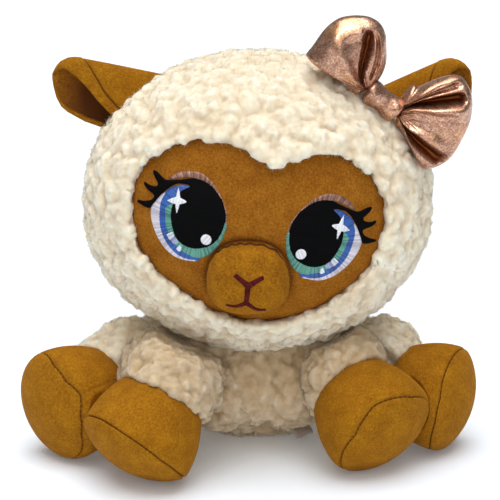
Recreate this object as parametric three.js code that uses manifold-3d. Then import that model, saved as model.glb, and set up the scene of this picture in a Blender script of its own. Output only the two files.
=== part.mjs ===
// A seated plush sheep with a big fleece head, a suede face, muzzle, ears and hooves, and a fabric bow.
// Lengths are in millimetres and angles in degrees. The sheep looks along -Y, +Z is up, and the origin is
// the middle of the flat patch that it sits on. Left and right are the sheep's own: its left lies toward +X.

import * as THREE from "three";
import { mergeVertices } from "three/addons/utils/BufferGeometryUtils.js";
import Module from "manifold-3d";

const wasm = await Module();
wasm.setup();

// Sewing and cutting
const seam = 0.3; // gap between two pieces that are sewn together
const turnPlay = 0.9; // gap where a piece turns past another one
const flatCut = 0.5; // depth by which a stuffed form is flattened where it rests
const overrun = 5; // how far a cutting form reaches past what it cuts
const cutterSide = 600; // side of a cutting block, larger than the whole sheep
const mergeDistance = 0.0001; // corners closer than this are one

// Head, an ellipsoid of fleece that turns on the neck
const head = {
  halfWidth: 77.5,
  halfDepth: 61,
  halfHeight: 66.5,
  bottomHeight: 48.5, // height of its lowest point over the floor
  lean: 21, // how far its middle stands in front of the seat
  turnReliefShare: 0.74, // share of the difference of width and depth that the neck hollow is widened by
};

// Suede face, let into an opening of the fleece
const face = { halfWidth: 55.5, halfHeight: 41.5, drop: 4.3, depth: 4, thickness: 2.5, clearance: 0.4 };
const browPeakShare = [0.105, 0.75];
const faceOutlineShares = [
  [0.38, 0.86],
  [0.65, 0.82],
  [0.85, 0.65],
  [0.965, 0.4],
  [1, 0.1],
  [0.93, -0.3],
  [0.74, -0.6],
  [0.42, -0.88],
  [0.04, -1],
  [-0.3, -0.9],
  [-0.64, -0.61],
  [-0.9, -0.27],
  [-1, 0.2],
  [-0.95, 0.58],
  [-0.74, 0.88],
  [-0.4, 1],
  [-0.1, 0.92],
];

// Eyes, embroidered on the face, which is turned a little toward the left
const eye = { halfWidth: 16.3, halfHeight: 18.6, apart: 30, drop: 0.6, thread: 0.9, roll: 9 };
const lashInnerShare = 1.04;
const lashShares = [
  // angle up from the outer corner, and distance in shares of the eye's half sizes
  [-4, 1.1],
  [10, 1.4],
  [22, 1.14],
  [33, 1.38],
  [42, 1.14],
  [50, 1.36],
  [60, 1.13],
  [90, 1.12],
  [120, 1.11],
  [146, 1.08],
];

// Muzzle, a stuffed oval on the face, with its embroidered nose and mouth
const muzzle = {
  halfWidth: 19.6,
  halfDepth: 17,
  halfHeight: 16.4,
  fullness: 2.3,
  aside: 4,
  drop: 23,
  behind: 14.6, // how far its middle lies behind the front of the head
};
const nose = { thread: 0.8, lineWidth: 2.3, roll: 6 };
const noseStrokeShares = [
  [[-0.34, 0.4], [-0.2, 0.22], [0, 0.1]],
  [[0.34, 0.4], [0.2, 0.22], [0, 0.1]],
  [[0, 0.14], [0.02, -0.2], [0, -0.5]],
  [[-0.52, -0.62], [-0.25, -0.66], [0, -0.46]],
  [[0.52, -0.62], [0.25, -0.66], [0, -0.46]],
];

// Ears, folded cups of two layers on a gathered root that is sewn into the head
const ear = {
  length: 35.5,
  halfHeight: 14.6,
  halfDepth: 6,
  layer: 1.6,
  layerGap: 0.8,
  liningThickness: 0.9,
  rootBackShare: 0.082, // place on the head, behind its middle, in shares of its half depth
  rootRadius: 5.2,
  rootHalfHeight: 12,
  foldBack: 25,
  foldForward: 20,
};
const ears = [
  // the tilt up from level, and the place on the head, up from its side
  { name: "right", side: -1, tilt: 11, rootAngle: 44 },
  { name: "left", side: 1, tilt: 24, rootAngle: 37 },
];
const earSteps = 9;
const earHeightShares = [1, 1.04, 1.02, 1, 0.97, 0.92, 0.84, 0.7, 0.4];
const earDepthShares = [0.75, 0.9, 1, 1, 0.96, 0.88, 0.78, 0.64, 0.45];
const earFold = { start: -78, endAtRoot: 232, endAtTip: 108 }; // sweep of the cup, from its lower back edge

// Bow, two gathered loops and a knot, sewn to the left of the crown
const bow = {
  acrossShare: 0.645, // place on the head, in shares of its half width and half depth
  aheadShare: 0.295,
  knotRadius: 6,
  knotLength: 18,
  slope: -26,
  loopHalfThickness: 9.5,
};
const loops = [
  { name: "bow_upper_loop", direction: 113, length: 29.5, halfWidth: 17.5 },
  { name: "bow_lower_loop", direction: -17, length: 31, halfWidth: 20.5 },
];
const loopWidthShares = [0.24, 0.42, 0.68, 0.88, 1, 1, 0.84, 0.5];
const loopThicknessShares = [0.42, 0.55, 0.75, 0.92, 1, 0.92, 0.72, 0.4];
const loopPleats = [
  // angle round the loop, half width of the pleat, and depth as a share of the radius there
  { angle: -62, spread: 14, depthShare: 0.4 },
  { angle: -118, spread: 14, depthShare: 0.36 },
  { angle: 90, spread: 18, depthShare: 0.3 },
];
const knotShares = [0.86, 1, 0.93, 1, 0.9];

// Body, an egg of fleece that is flat where it sits
const torso = { halfWidth: 44, halfDepth: 38, halfHeight: 40, fullness: 2.2 };

// Tail, a small fleece tuft behind
const tail = { rootHeight: 33, rootRadius: 6, length: 23, radius: 9.5, fullness: 2.2, droop: 25, swing: 20 };

// Limbs, fleece sleeves that end in suede hooves with a sewn sole
const limb = { rootRadius: 12, rootDepthShare: 0.93, sleeveRadius: 22.5, bend: 14, sides: 16 };
const sleeveShares = [0.42, 0.6, 0.78, 0.91, 0.98, 1, 0.98, 0.94];
const hoof = { radius: 25.4, back: 13, front: 12, tip: 22.5 };
const hoofWallShares = [
  // along from the cuff to the sole, and radius
  [0, 0.77],
  [0.22, 0.87],
  [0.5, 0.96],
  [0.78, 1],
  [1, 0.985],
];
const soleShares = [
  // along from the edge of the sole to its tip, and radius
  [0, 0.975],
  [0.35, 0.86],
  [0.7, 0.6],
  [0.92, 0.3],
];
const shoulder = { bearing: 47, height: 38 };
const hip = { bearing: 84, height: 34 };
const legs = [
  // how far the leg lifts forward or swings back; how far the hoof's middle stands out and ahead of the
  // root; how far the hoof is held off the floor; the way the toe points; and the hoof's size
  {
    name: "front_right", side: -1, root: shoulder, lift: 15,
    out: 17, ahead: 46, off: 0, toeOut: 44, toeDown: 49, sizeShare: 1,
  },
  {
    name: "front_left", side: 1, root: shoulder, lift: 15,
    out: 24.5, ahead: 31, off: 0, toeOut: 36, toeDown: 30, sizeShare: 1,
  },
  {
    name: "hind_right", side: -1, root: hip, swing: 30,
    out: 41.5, ahead: 34, off: 0.8, toeOut: 43, toeDown: 6, sizeShare: 1,
  },
  {
    name: "hind_left", side: 1, root: hip, swing: 30,
    out: 38.5, ahead: 24, off: 0.8, toeOut: 65, toeDown: 7, sizeShare: 0.96,
  },
];

// Sewn-in label, a folded strip under the left of the belly, left bare
const label = { width: 10, length: 14, thickness: 0.6, bearing: 38, height: 7, tuck: 1.5 };

const fleece = new THREE.MeshStandardMaterial({ color: 0xf6ecd8, roughness: 1, metalness: 0 });
const suede = new THREE.MeshStandardMaterial({ color: 0x9a6418, roughness: 0.95, metalness: 0 });
const lining = new THREE.MeshStandardMaterial({ color: 0x7a4c18, roughness: 0.95, metalness: 0 });
const eyeThread = new THREE.MeshStandardMaterial({ color: 0x20457a, roughness: 0.55, metalness: 0 });
const lashThread = new THREE.MeshStandardMaterial({ color: 0x141214, roughness: 0.6, metalness: 0 });
const noseThread = new THREE.MeshStandardMaterial({ color: 0x5e2a1c, roughness: 0.6, metalness: 0 });
const bowCloth = new THREE.MeshStandardMaterial({ color: 0xc8967f, roughness: 0.32, metalness: 0.8 });
const satin = new THREE.MeshStandardMaterial({ color: 0xf2f0ec, roughness: 0.5, metalness: 0 });

// Geometry helpers

const radians = THREE.MathUtils.degToRad;
const xAxis = new THREE.Vector3(1, 0, 0);
const yAxis = new THREE.Vector3(0, 1, 0);
const zAxis = new THREE.Vector3(0, 0, 1);

function solidOf(geometry) {
  const bare = new THREE.BufferGeometry();
  bare.setAttribute("position", geometry.getAttribute("position").clone());
  if (geometry.index) bare.setIndex(geometry.index.clone());
  const merged = mergeVertices(bare, mergeDistance);
  return new wasm.Manifold(
    new wasm.Mesh({
      numProp: 3,
      vertProperties: merged.attributes.position.array,
      triVerts: new Uint32Array(merged.index.array),
    }),
  );
}

function geometryOf(solid) {
  const mesh = solid.getMesh();
  const geometry = new THREE.BufferGeometry();
  geometry.setAttribute("position", new THREE.BufferAttribute(mesh.vertProperties, mesh.numProp));
  geometry.setIndex(new THREE.BufferAttribute(mesh.triVerts, 1));
  const flat = geometry.toNonIndexed();
  flat.computeVertexNormals();
  return flat;
}

function meshOf(name, solid, material) {
  const mesh = new THREE.Mesh(geometryOf(solid), material);
  mesh.name = name;
  return mesh;
}

// A stuffed form: a sphere drawn out to three half sizes, fuller than an ellipsoid where fullness is over 2.
function stuffedForm(half, fullness, across, along) {
  const geometry = new THREE.SphereGeometry(1, across, along).rotateX(Math.PI / 2);
  const places = geometry.getAttribute("position");
  const point = new THREE.Vector3();
  for (let i = 0; i < places.count; i++) {
    point.fromBufferAttribute(places, i);
    const sum = [point.x, point.y, point.z].reduce((s, c) => s + Math.abs(c) ** fullness, 0);
    point.multiplyScalar(sum ** (-1 / fullness));
    places.setXYZ(i, point.x * half.x, point.y * half.y, point.z * half.z);
  }
  return geometry;
}

// A closed skin over rings of as many points each, with a fan at either end.
function loftGeometry(rings) {
  const sides = rings[0].length;
  const points = rings.flat();
  const first = points.length;
  const middleOf = (ring) => ring.reduce((sum, p) => sum.add(p), new THREE.Vector3()).divideScalar(sides);
  points.push(middleOf(rings[0]), middleOf(rings.at(-1)));
  const faces = [];
  for (let r = 0; r + 1 < rings.length; r++) {
    for (let i = 0; i < sides; i++) {
      const a = r * sides + i;
      const b = r * sides + ((i + 1) % sides);
      faces.push(a, b, b + sides, a, b + sides, a + sides);
    }
  }
  const last = (rings.length - 1) * sides;
  for (let i = 0; i < sides; i++) {
    const next = (i + 1) % sides;
    faces.push(first, next, i);
    faces.push(first + 1, last + i, last + next);
  }
  const geometry = new THREE.BufferGeometry().setFromPoints(points);
  return geometry.setIndex(faces);
}

// A revolved form along a direction, from pairs of distance along it and radius.
function turnedForm(profile, direction, sides) {
  const outline = profile.map(([along, radius]) => new THREE.Vector2(radius, along));
  outline.unshift(new THREE.Vector2(0, outline[0].y));
  if (outline.at(-1).x > 0) outline.push(new THREE.Vector2(0, outline.at(-1).y));
  const geometry = new THREE.LatheGeometry(outline, sides);
  return geometry.applyQuaternion(new THREE.Quaternion().setFromUnitVectors(yAxis, direction));
}

// A prism that reaches forward, toward -Y, from an outline drawn in X and Z.
function forwardPrism(outline, reach) {
  const settings = { depth: reach, bevelEnabled: false, curveSegments: 1 };
  return new THREE.ExtrudeGeometry(new THREE.Shape(outline), settings).rotateX(Math.PI / 2);
}

// How far a geometry reaches along a direction from a point.
function reachAlong(geometry, from, direction) {
  const places = geometry.getAttribute("position");
  let furthest = -Infinity;
  const point = new THREE.Vector3();
  for (let i = 0; i < places.count; i++) {
    furthest = Math.max(furthest, point.fromBufferAttribute(places, i).sub(from).dot(direction));
  }
  return furthest;
}

// A block that fills everything on the inner side of a plane: what lies less than offset along the normal.
function innerBlock(normal, offset) {
  const block = new THREE.BoxGeometry(cutterSide, cutterSide, cutterSide);
  const geometry = block.translate(0, 0, offset - cutterSide / 2);
  return solidOf(geometry.applyQuaternion(new THREE.Quaternion().setFromUnitVectors(zAxis, normal)));
}

// The main body of a solid, without the crumbs that a cut leaves beside it.
function mainBody(solid) {
  return solid.decompose().reduce((best, body) => (body.volume() > best.volume() ? body : best));
}

function turnedRound(solid, axis, angle) {
  return solid.transform(new THREE.Matrix4().makeRotationAxis(axis, radians(angle)).elements);
}

// A limb is relieved so that it clears the body at both ends of its swing round the axis.
function relieved(solid, outward, axis, swings, offset) {
  return swings.reduce((left, angle) => {
    const normal = outward.clone().applyAxisAngle(axis, -radians(angle));
    return left.subtract(innerBlock(normal, offset));
  }, solid);
}

// Head

const headMiddle = new THREE.Vector3(0, -head.lean, head.bottomHeight + head.halfHeight);

function headForm(inset) {
  const half = new THREE.Vector3(head.halfWidth - inset, head.halfDepth - inset, head.halfHeight - inset);
  return stuffedForm(half, 2, 28, 18);
}

function headShell(outerInset, innerInset) {
  return solidOf(headForm(outerInset)).subtract(solidOf(headForm(innerInset)));
}

// The room that the head sweeps as it turns on the neck.
function neckHollow() {
  const relief = (head.halfWidth - head.halfDepth) * head.turnReliefShare;
  const half = new THREE.Vector3(
    head.halfWidth + turnPlay + seam,
    head.halfDepth + relief,
    head.halfHeight + seam,
  );
  return solidOf(stuffedForm(half, 2, 28, 18)).translate(headMiddle.x, headMiddle.y, headMiddle.z);
}

function headNormal(place) {
  return new THREE.Vector3(
    place.x / head.halfWidth ** 2,
    place.y / head.halfDepth ** 2,
    place.z / head.halfHeight ** 2,
  ).normalize();
}

function faceOutline(growth) {
  const place = ([x, z]) =>
    new THREE.Vector2(x * (face.halfWidth + growth), z * (face.halfHeight + growth) - face.drop);
  const edge = [browPeakShare, ...faceOutlineShares, browPeakShare].map(place);
  return new THREE.SplineCurve(edge).getPoints(faceOutlineShares.length * 2).slice(0, -1);
}

function rolled(x, z, angle) {
  return new THREE.Vector2(x, z).rotateAround(new THREE.Vector2(), -radians(angle));
}

function patch(outline, carrierInset, thread) {
  const prism = solidOf(forwardPrism(outline, head.halfDepth + overrun));
  return prism.intersect(headShell(carrierInset - seam - thread, carrierInset - seam));
}

function eyeOutline(side) {
  const steps = 20;
  return Array.from({ length: steps }, (_, i) => {
    const angle = (2 * Math.PI * i) / steps;
    return rolled(
      side * eye.apart + Math.cos(angle) * eye.halfWidth,
      Math.sin(angle) * eye.halfHeight - eye.drop,
      eye.roll,
    );
  });
}

function lashOutline(side) {
  const place = ([angle, share]) =>
    rolled(
      side * (eye.apart + Math.cos(radians(angle)) * share * eye.halfWidth),
      Math.sin(radians(angle)) * share * eye.halfHeight - eye.drop,
      eye.roll,
    );
  const inner = lashShares.map(([angle]) => [angle, lashInnerShare]).reverse();
  return [...lashShares, ...inner].map(place);
}

const muzzleMiddle = new THREE.Vector3(
  -muzzle.aside,
  -(head.halfDepth - muzzle.behind),
  -muzzle.drop,
);

function muzzleForm(growth) {
  const half = new THREE.Vector3(
    muzzle.halfWidth + growth,
    muzzle.halfDepth + growth,
    muzzle.halfHeight + growth,
  );
  const geometry = stuffedForm(half, muzzle.fullness, 20, 12);
  return solidOf(geometry.translate(muzzleMiddle.x, muzzleMiddle.y, muzzleMiddle.z));
}

// One line of stitches: a band of the line's width along a curve through three places of the muzzle.
function strokePrism(shares) {
  const places = shares.map(([x, z]) =>
    rolled(x * muzzle.halfWidth, z * muzzle.halfHeight, nose.roll).add(
      new THREE.Vector2(muzzleMiddle.x, muzzleMiddle.z),
    ),
  );
  const curve = new THREE.SplineCurve(places);
  const steps = 4;
  const edge = (sign) =>
    Array.from({ length: steps + 1 }, (_, i) => {
      const tangent = curve.getTangent(i / steps);
      const across = new THREE.Vector2(-tangent.y, tangent.x).multiplyScalar((sign * nose.lineWidth) / 2);
      return curve.getPoint(i / steps).add(across);
    });
  return solidOf(forwardPrism([...edge(1), ...edge(-1).reverse()], head.halfDepth + muzzle.behind));
}

function noseAndMouth() {
  const strokes = noseStrokeShares.map(strokePrism).reduce((all, stroke) => all.add(stroke));
  const skin = muzzleForm(seam + nose.thread).subtract(muzzleForm(seam));
  return strokes.intersect(skin).subtract(solidOf(headForm(0)));
}

// Ears

// Both ears are worked out on the left side, and the right one is mirrored.
function earFrame({ tilt, rootAngle }) {
  const ring = Math.sqrt(1 - ear.rootBackShare ** 2);
  const place = new THREE.Vector3(
    Math.cos(radians(rootAngle)) * ring * head.halfWidth,
    ear.rootBackShare * head.halfDepth,
    Math.sin(radians(rootAngle)) * ring * head.halfHeight,
  );
  return { place, turn: new THREE.Quaternion().setFromAxisAngle(yAxis, -radians(tilt)) };
}

function earRootForm(growth) {
  const half = new THREE.Vector3(
    ear.rootRadius + growth,
    ear.rootRadius + growth,
    ear.rootHalfHeight + growth,
  );
  return solidOf(stuffedForm(half, 2, 12, 8));
}

// One layer of the folded cup, from an outer to an inner inset of its section, over a run of its stations.
function earLayer(outerInset, innerInset, firstStation, lastStation) {
  const arc = (station, inset, from, to) => {
    const share = station / (earHeightShares.length - 1);
    const sweepEnd = THREE.MathUtils.lerp(earFold.endAtRoot, earFold.endAtTip, share);
    const halfHeight = ear.halfHeight * earHeightShares[station] - inset;
    const halfDepth = ear.halfDepth * earDepthShares[station] - inset;
    return Array.from({ length: earSteps + 1 }, (_, i) => {
      const along = THREE.MathUtils.lerp(from, to, i / earSteps);
      const angle = radians(THREE.MathUtils.lerp(earFold.start, sweepEnd, along));
      return new THREE.Vector3(
        ear.length * share,
        Math.cos(angle) * halfDepth,
        Math.sin(angle) * halfHeight,
      );
    });
  };
  const rings = [];
  for (let station = firstStation; station <= lastStation; station++) {
    rings.push([...arc(station, outerInset, 0, 1), ...arc(station, innerInset, 1, 0)]);
  }
  return solidOf(bandGeometry(rings));
}

// A closed skin over rings that are thin bands: the two ends are closed across the band.
function bandGeometry(rings) {
  const sides = rings[0].length;
  const steps = sides / 2 - 1;
  const faces = [];
  for (let r = 0; r + 1 < rings.length; r++) {
    for (let i = 0; i < sides; i++) {
      const a = r * sides + i;
      const b = r * sides + ((i + 1) % sides);
      faces.push(a, b, b + sides, a, b + sides, a + sides);
    }
  }
  const last = (rings.length - 1) * sides;
  for (let i = 0; i < steps; i++) {
    const far = sides - 1 - i;
    faces.push(i, far - 1, i + 1, i, far, far - 1);
    faces.push(last + i, last + i + 1, last + far - 1, last + i, last + far - 1, last + far);
  }
  return new THREE.BufferGeometry().setFromPoints(rings.flat()).setIndex(faces);
}

function makeEar(sided) {
  const { name, side } = sided;
  const { place, turn } = earFrame(sided);
  const group = new THREE.Group();
  group.position.set(side * place.x, place.y, place.z);
  const headRoom = headForm(-turnPlay).translate(-place.x, -place.y, -place.z);
  const untilted = solidOf(headRoom.applyQuaternion(turn.clone().invert()));
  const swept = [-ear.foldForward, 0, ear.foldBack].map((angle) => turnedRound(untilted, zAxis, angle));
  const clearOfHead = (solid) => solid.subtract(swept.reduce((all, room) => all.add(room)));
  const inset = ear.layer + ear.layerGap;
  const tip = earHeightShares.length - 1;
  const outer = clearOfHead(earLayer(0, ear.layer, 0, tip)).add(earRootForm(0));
  const cup = clearOfHead(earLayer(inset, inset + ear.liningThickness, 0, tip - 1));
  const inner = cup.subtract(earRootForm(turnPlay));
  for (const [part, solid, material] of [
    ["outer", outer, suede],
    ["lining", inner, lining],
  ]) {
    const tilted = solidOf(geometryOf(mainBody(solid)).applyQuaternion(turn));
    const placed = side > 0 ? tilted : tilted.mirror([1, 0, 0]);
    group.add(meshOf(`${name}_ear_${part}`, placed, material));
  }
  return group;
}

function earSocket(sided) {
  const { place, turn } = earFrame(sided);
  const socket = solidOf(geometryOf(earRootForm(seam)).applyQuaternion(turn));
  const placed = socket.translate(place.x, place.y, place.z);
  return sided.side > 0 ? placed : placed.mirror([1, 0, 0]);
}

// Bow

function bowPlace() {
  const riseShare = Math.sqrt(1 - bow.acrossShare ** 2 - bow.aheadShare ** 2);
  const foot = new THREE.Vector3(
    bow.acrossShare * head.halfWidth,
    -bow.aheadShare * head.halfDepth,
    riseShare * head.halfHeight,
  );
  return foot.addScaledVector(headNormal(foot), bow.knotRadius + seam);
}

// A loop of the bow: a fan with pleats that run into the knot.
function loopForm({ length, halfWidth }) {
  const sides = 20;
  const rings = loopWidthShares.map((widthShare, station) => {
    const share = station / (loopWidthShares.length - 1);
    const fade = 1 - share ** 3;
    return Array.from({ length: sides }, (_, i) => {
      const angle = (360 * i) / sides;
      const pleat = loopPleats.reduce((sum, { angle: at, spread, depthShare }) => {
        const apart = ((angle - at + 540) % 360) - 180;
        return sum + depthShare * Math.exp(-((apart / spread) ** 2));
      }, 0);
      const radius = 1 - pleat * fade;
      return new THREE.Vector3(
        Math.cos(radians(angle)) * radius * widthShare * halfWidth,
        Math.sin(radians(angle)) * radius * loopThicknessShares[station] * bow.loopHalfThickness,
        share * length,
      );
    });
  });
  return loftGeometry(rings);
}

function makeBow() {
  const group = new THREE.Group();
  group.position.copy(bowPlace());
  const along = xAxis.clone().applyAxisAngle(yAxis, -radians(bow.slope));
  const half = bow.knotLength / 2;
  const knotProfile = knotShares.map((share, i) => [
    THREE.MathUtils.lerp(-half, half, i / (knotShares.length - 1)),
    share * bow.knotRadius,
  ]);
  const knot = solidOf(turnedForm(knotProfile, along, 20));
  const headPlace = group.position.clone().negate();
  const headRoom = solidOf(headForm(-seam)).translate(headPlace.x, headPlace.y, headPlace.z);
  group.add(meshOf("bow_knot", knot.subtract(headRoom), bowCloth));
  const knotRoom = solidOf(
    turnedForm(
      knotProfile.map(([place, radius]) => [place + Math.sign(place) * seam, radius + seam]),
      along,
      20,
    ),
  );
  for (const [index, loopShape] of loops.entries()) {
    const { name, direction } = loopShape;
    const end = along.clone().multiplyScalar((index === 0 ? -1 : 1) * (half - seam));
    const outward = xAxis.clone().applyAxisAngle(yAxis, -radians(direction));
    const turn = new THREE.Quaternion().setFromRotationMatrix(
      new THREE.Matrix4().makeBasis(yAxis.clone().cross(outward), yAxis, outward),
    );
    const loop = solidOf(loopForm(loopShape).applyQuaternion(turn).translate(end.x, end.y, end.z));
    group.add(meshOf(name, loop.subtract(knotRoom).subtract(headRoom), bowCloth));
  }
  return group;
}

function makeHead() {
  const group = new THREE.Group();
  group.position.copy(headMiddle);
  const reach = head.halfDepth + overrun;
  const opening = solidOf(forwardPrism(faceOutline(face.clearance), reach));
  const backing = solidOf(headForm(face.depth + face.thickness + seam));
  const cover = solidOf(headForm(0))
    .subtract(opening.subtract(backing))
    .subtract(earSocket(ears[0]))
    .subtract(earSocket(ears[1]));
  group.add(meshOf("head_fleece", cover, fleece));
  const panel = solidOf(forwardPrism(faceOutline(0), reach));
  group.add(
    meshOf("face_panel", panel.intersect(headShell(face.depth, face.depth + face.thickness)), suede),
  );
  group.add(meshOf("muzzle", muzzleForm(0).subtract(solidOf(headForm(face.depth - seam))), suede));
  group.add(meshOf("nose_mouth_stitching", noseAndMouth(), noseThread));
  for (const sided of ears) {
    const { name, side } = sided;
    group.add(meshOf(`${name}_eye`, patch(eyeOutline(side), face.depth, eye.thread), eyeThread));
    group.add(meshOf(`${name}_lashes`, patch(lashOutline(side), face.depth, eye.thread), lashThread));
    group.add(makeEar(sided));
  }
  group.add(makeBow());
  return group;
}

// Body

const torsoMiddle = new THREE.Vector3(0, 0, torso.halfHeight - flatCut);

function torsoGeometry() {
  const half = new THREE.Vector3(torso.halfWidth, torso.halfDepth, torso.halfHeight);
  return stuffedForm(half, torso.fullness, 24, 14).translate(torsoMiddle.x, torsoMiddle.y, torsoMiddle.z);
}

// The place on the torso's side at a bearing round from the front and a height, and the way out from it.
function torsoRoot(bearing, height, side, depthShare) {
  const flatness = torso.fullness;
  const level = 1 - (Math.abs(height - torsoMiddle.z) / torso.halfHeight) ** flatness;
  const x = Math.sin(radians(bearing));
  const y = -Math.cos(radians(bearing));
  const ring = (level / (Math.abs(x) ** flatness + Math.abs(y) ** flatness)) ** (1 / flatness);
  const place = new THREE.Vector3(
    side * x * ring * torso.halfWidth * depthShare,
    y * ring * torso.halfDepth * depthShare,
    height,
  );
  const outward = new THREE.Vector3(
    side * Math.abs(x) ** (flatness - 1) * Math.sign(x) / torso.halfWidth,
    Math.abs(y) ** (flatness - 1) * Math.sign(y) / torso.halfDepth,
    0,
  ).normalize();
  return { place, outward };
}

function aboveFloor(solid, pivotHeight) {
  return solid.subtract(innerBlock(zAxis, -pivotHeight));
}

// Limbs

function toeDirection(leg) {
  const level = Math.cos(radians(leg.toeDown));
  return new THREE.Vector3(
    leg.side * Math.sin(radians(leg.toeOut)) * level,
    -Math.cos(radians(leg.toeOut)) * level,
    -Math.sin(radians(leg.toeDown)),
  );
}

function hoofProfiles(sizeShare) {
  const wall = hoofWallShares.map(([along, share]) => [
    THREE.MathUtils.lerp(-hoof.back, hoof.front, along) * sizeShare,
    share * hoof.radius * sizeShare,
  ]);
  const sole = soleShares.map(([along, share]) => [
    THREE.MathUtils.lerp(hoof.front, hoof.tip, along) * sizeShare + seam,
    share * hoof.radius * sizeShare,
  ]);
  sole.push([hoof.tip * sizeShare + seam, 0]);
  return { wall, sole };
}

// How high the hoof's middle lies when its lowest point is held off the floor, or pressed flat on it.
function hoofHeight({ wall, sole }, toe, off) {
  const spread = Math.sqrt(1 - toe.z ** 2);
  const dips = [...wall, ...sole].map(([along, radius]) => radius * spread - along * toe.z);
  return Math.max(...dips) + (off > 0 ? off : -flatCut);
}

function legFrame(leg) {
  const { place, outward } = torsoRoot(leg.root.bearing, leg.root.height, leg.side, limb.rootDepthShare);
  const toe = toeDirection(leg);
  const profiles = hoofProfiles(leg.sizeShare);
  const rise = hoofHeight(profiles, toe, leg.off) - place.z;
  const foot = new THREE.Vector3(leg.side * leg.out, -leg.ahead, rise);
  const axis = leg.lift ? xAxis.clone().negate() : new THREE.Vector3(0, 0, leg.side);
  return { place, outward, toe, profiles, foot, axis, most: leg.lift || leg.swing };
}

function sleeveForm(frame, growth) {
  const [hoofStart] = frame.profiles.wall[0];
  const cuff = frame.foot.clone().addScaledVector(frame.toe, hoofStart - seam);
  const bendPoint = cuff.clone().addScaledVector(frame.toe, -limb.bend);
  const path = new THREE.QuadraticBezierCurve3(new THREE.Vector3(), bendPoint, cuff);
  const stations = sleeveShares.length - 1;
  const rings = sleeveShares.map((share, station) => {
    const tangent = path.getTangent(station / stations);
    const turn = new THREE.Quaternion().setFromUnitVectors(zAxis, tangent);
    return Array.from({ length: limb.sides }, (_, i) => {
      const angle = (2 * Math.PI * i) / limb.sides;
      const point = new THREE.Vector3(Math.cos(angle), Math.sin(angle), 0);
      point.multiplyScalar(share * limb.sleeveRadius + growth).applyQuaternion(turn);
      return point.add(path.getPoint(station / stations));
    });
  });
  const end = frame.toe.dot(cuff) + growth;
  const beyondCuff = innerBlock(frame.toe.clone().negate(), -end);
  return solidOf(loftGeometry(rings)).subtract(beyondCuff);
}

function rootBall(radius) {
  return solidOf(stuffedForm(new THREE.Vector3(radius, radius, radius), 2, 14, 8));
}

function hoofForm(profile, frame, growth) {
  const grown = profile.map(([along, radius], station) => [
    along + (station ? growth : -growth),
    radius ? radius + growth : 0,
  ]);
  return solidOf(turnedForm(grown, frame.toe, 20)).translate(frame.foot.x, frame.foot.y, frame.foot.z);
}

// The room that a leg takes up as it lifts, in the sheep's own frame.
function legRoom(leg) {
  const frame = legFrame(leg);
  const form = sleeveForm(frame, turnPlay)
    .add(hoofForm(frame.profiles.wall, frame, turnPlay))
    .add(hoofForm(frame.profiles.sole, frame, turnPlay));
  const raised = [0, 1, 2, 3].map((third) => turnedRound(form, frame.axis, (leg.lift * third) / 3));
  return raised.reduce((all, solid) => all.add(solid)).translate(frame.place.x, frame.place.y, frame.place.z);
}

// Everything that a leg has to keep clear of: the head as it turns, also while the leg is raised,
// and the front leg of the same side, against which a hind leg is pressed.
function neighboursOf(leg, frame) {
  const toPivot = (solid) => solid.translate(-frame.place.x, -frame.place.y, -frame.place.z);
  const headRoom = toPivot(neckHollow());
  if (!leg.lift) {
    const front = toPivot(legRoom(legs.find(({ side, lift }) => side === leg.side && lift)));
    return headRoom.add(front).add(turnedRound(front, frame.axis, -leg.swing / 3));
  }
  return headRoom.add(turnedRound(headRoom, frame.axis, -leg.lift));
}

function makeLeg(leg) {
  const frame = legFrame(leg);
  const group = new THREE.Group();
  group.position.copy(frame.place);
  const offset = reachAlong(torsoGeometry(), frame.place, frame.outward) + seam;
  const neighbours = neighboursOf(leg, frame);
  const swings = [0, frame.most];
  const sleeve = relieved(sleeveForm(frame, 0), frame.outward, frame.axis, swings, offset)
    .add(rootBall(limb.rootRadius));
  for (const [part, solid, material] of [
    ["sleeve", sleeve, fleece],
    ["hoof", hoofForm(frame.profiles.wall, frame, 0), suede],
    ["sole", hoofForm(frame.profiles.sole, frame, 0), suede],
  ]) {
    const clear = mainBody(aboveFloor(solid.subtract(neighbours), frame.place.z));
    group.add(meshOf(`${leg.name}_${part}`, clear, material));
  }
  return group;
}

// Tail

function makeTail() {
  const { place, outward } = torsoRoot(180, tail.rootHeight, 1, limb.rootDepthShare);
  const group = new THREE.Group();
  group.position.copy(place);
  const half = new THREE.Vector3(tail.radius, tail.length / 2, tail.radius);
  const tuft = stuffedForm(half, tail.fullness, 18, 12)
    .translate(0, tail.length / 2, 0)
    .applyQuaternion(new THREE.Quaternion().setFromAxisAngle(xAxis, -radians(tail.droop)));
  const offset = reachAlong(torsoGeometry(), place, outward) + seam;
  const swings = [-tail.swing, 0, tail.swing];
  const solid = relieved(solidOf(tuft), outward, zAxis, swings, offset);
  group.add(meshOf("tail", solid.add(rootBall(tail.rootRadius)), fleece));
  return group;
}

function makeTorso() {
  const sockets = legs.map((leg) => {
    const { place } = legFrame(leg);
    return rootBall(limb.rootRadius + turnPlay).translate(place.x, place.y, place.z);
  });
  const tailPlace = torsoRoot(180, tail.rootHeight, 1, limb.rootDepthShare).place;
  sockets.push(rootBall(tail.rootRadius + turnPlay).translate(tailPlace.x, tailPlace.y, tailPlace.z));
  const body = sockets.reduce((left, socket) => left.subtract(socket), solidOf(torsoGeometry()));
  return meshOf("torso_fleece", aboveFloor(body.subtract(neckHollow()), 0), fleece);
}

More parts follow.
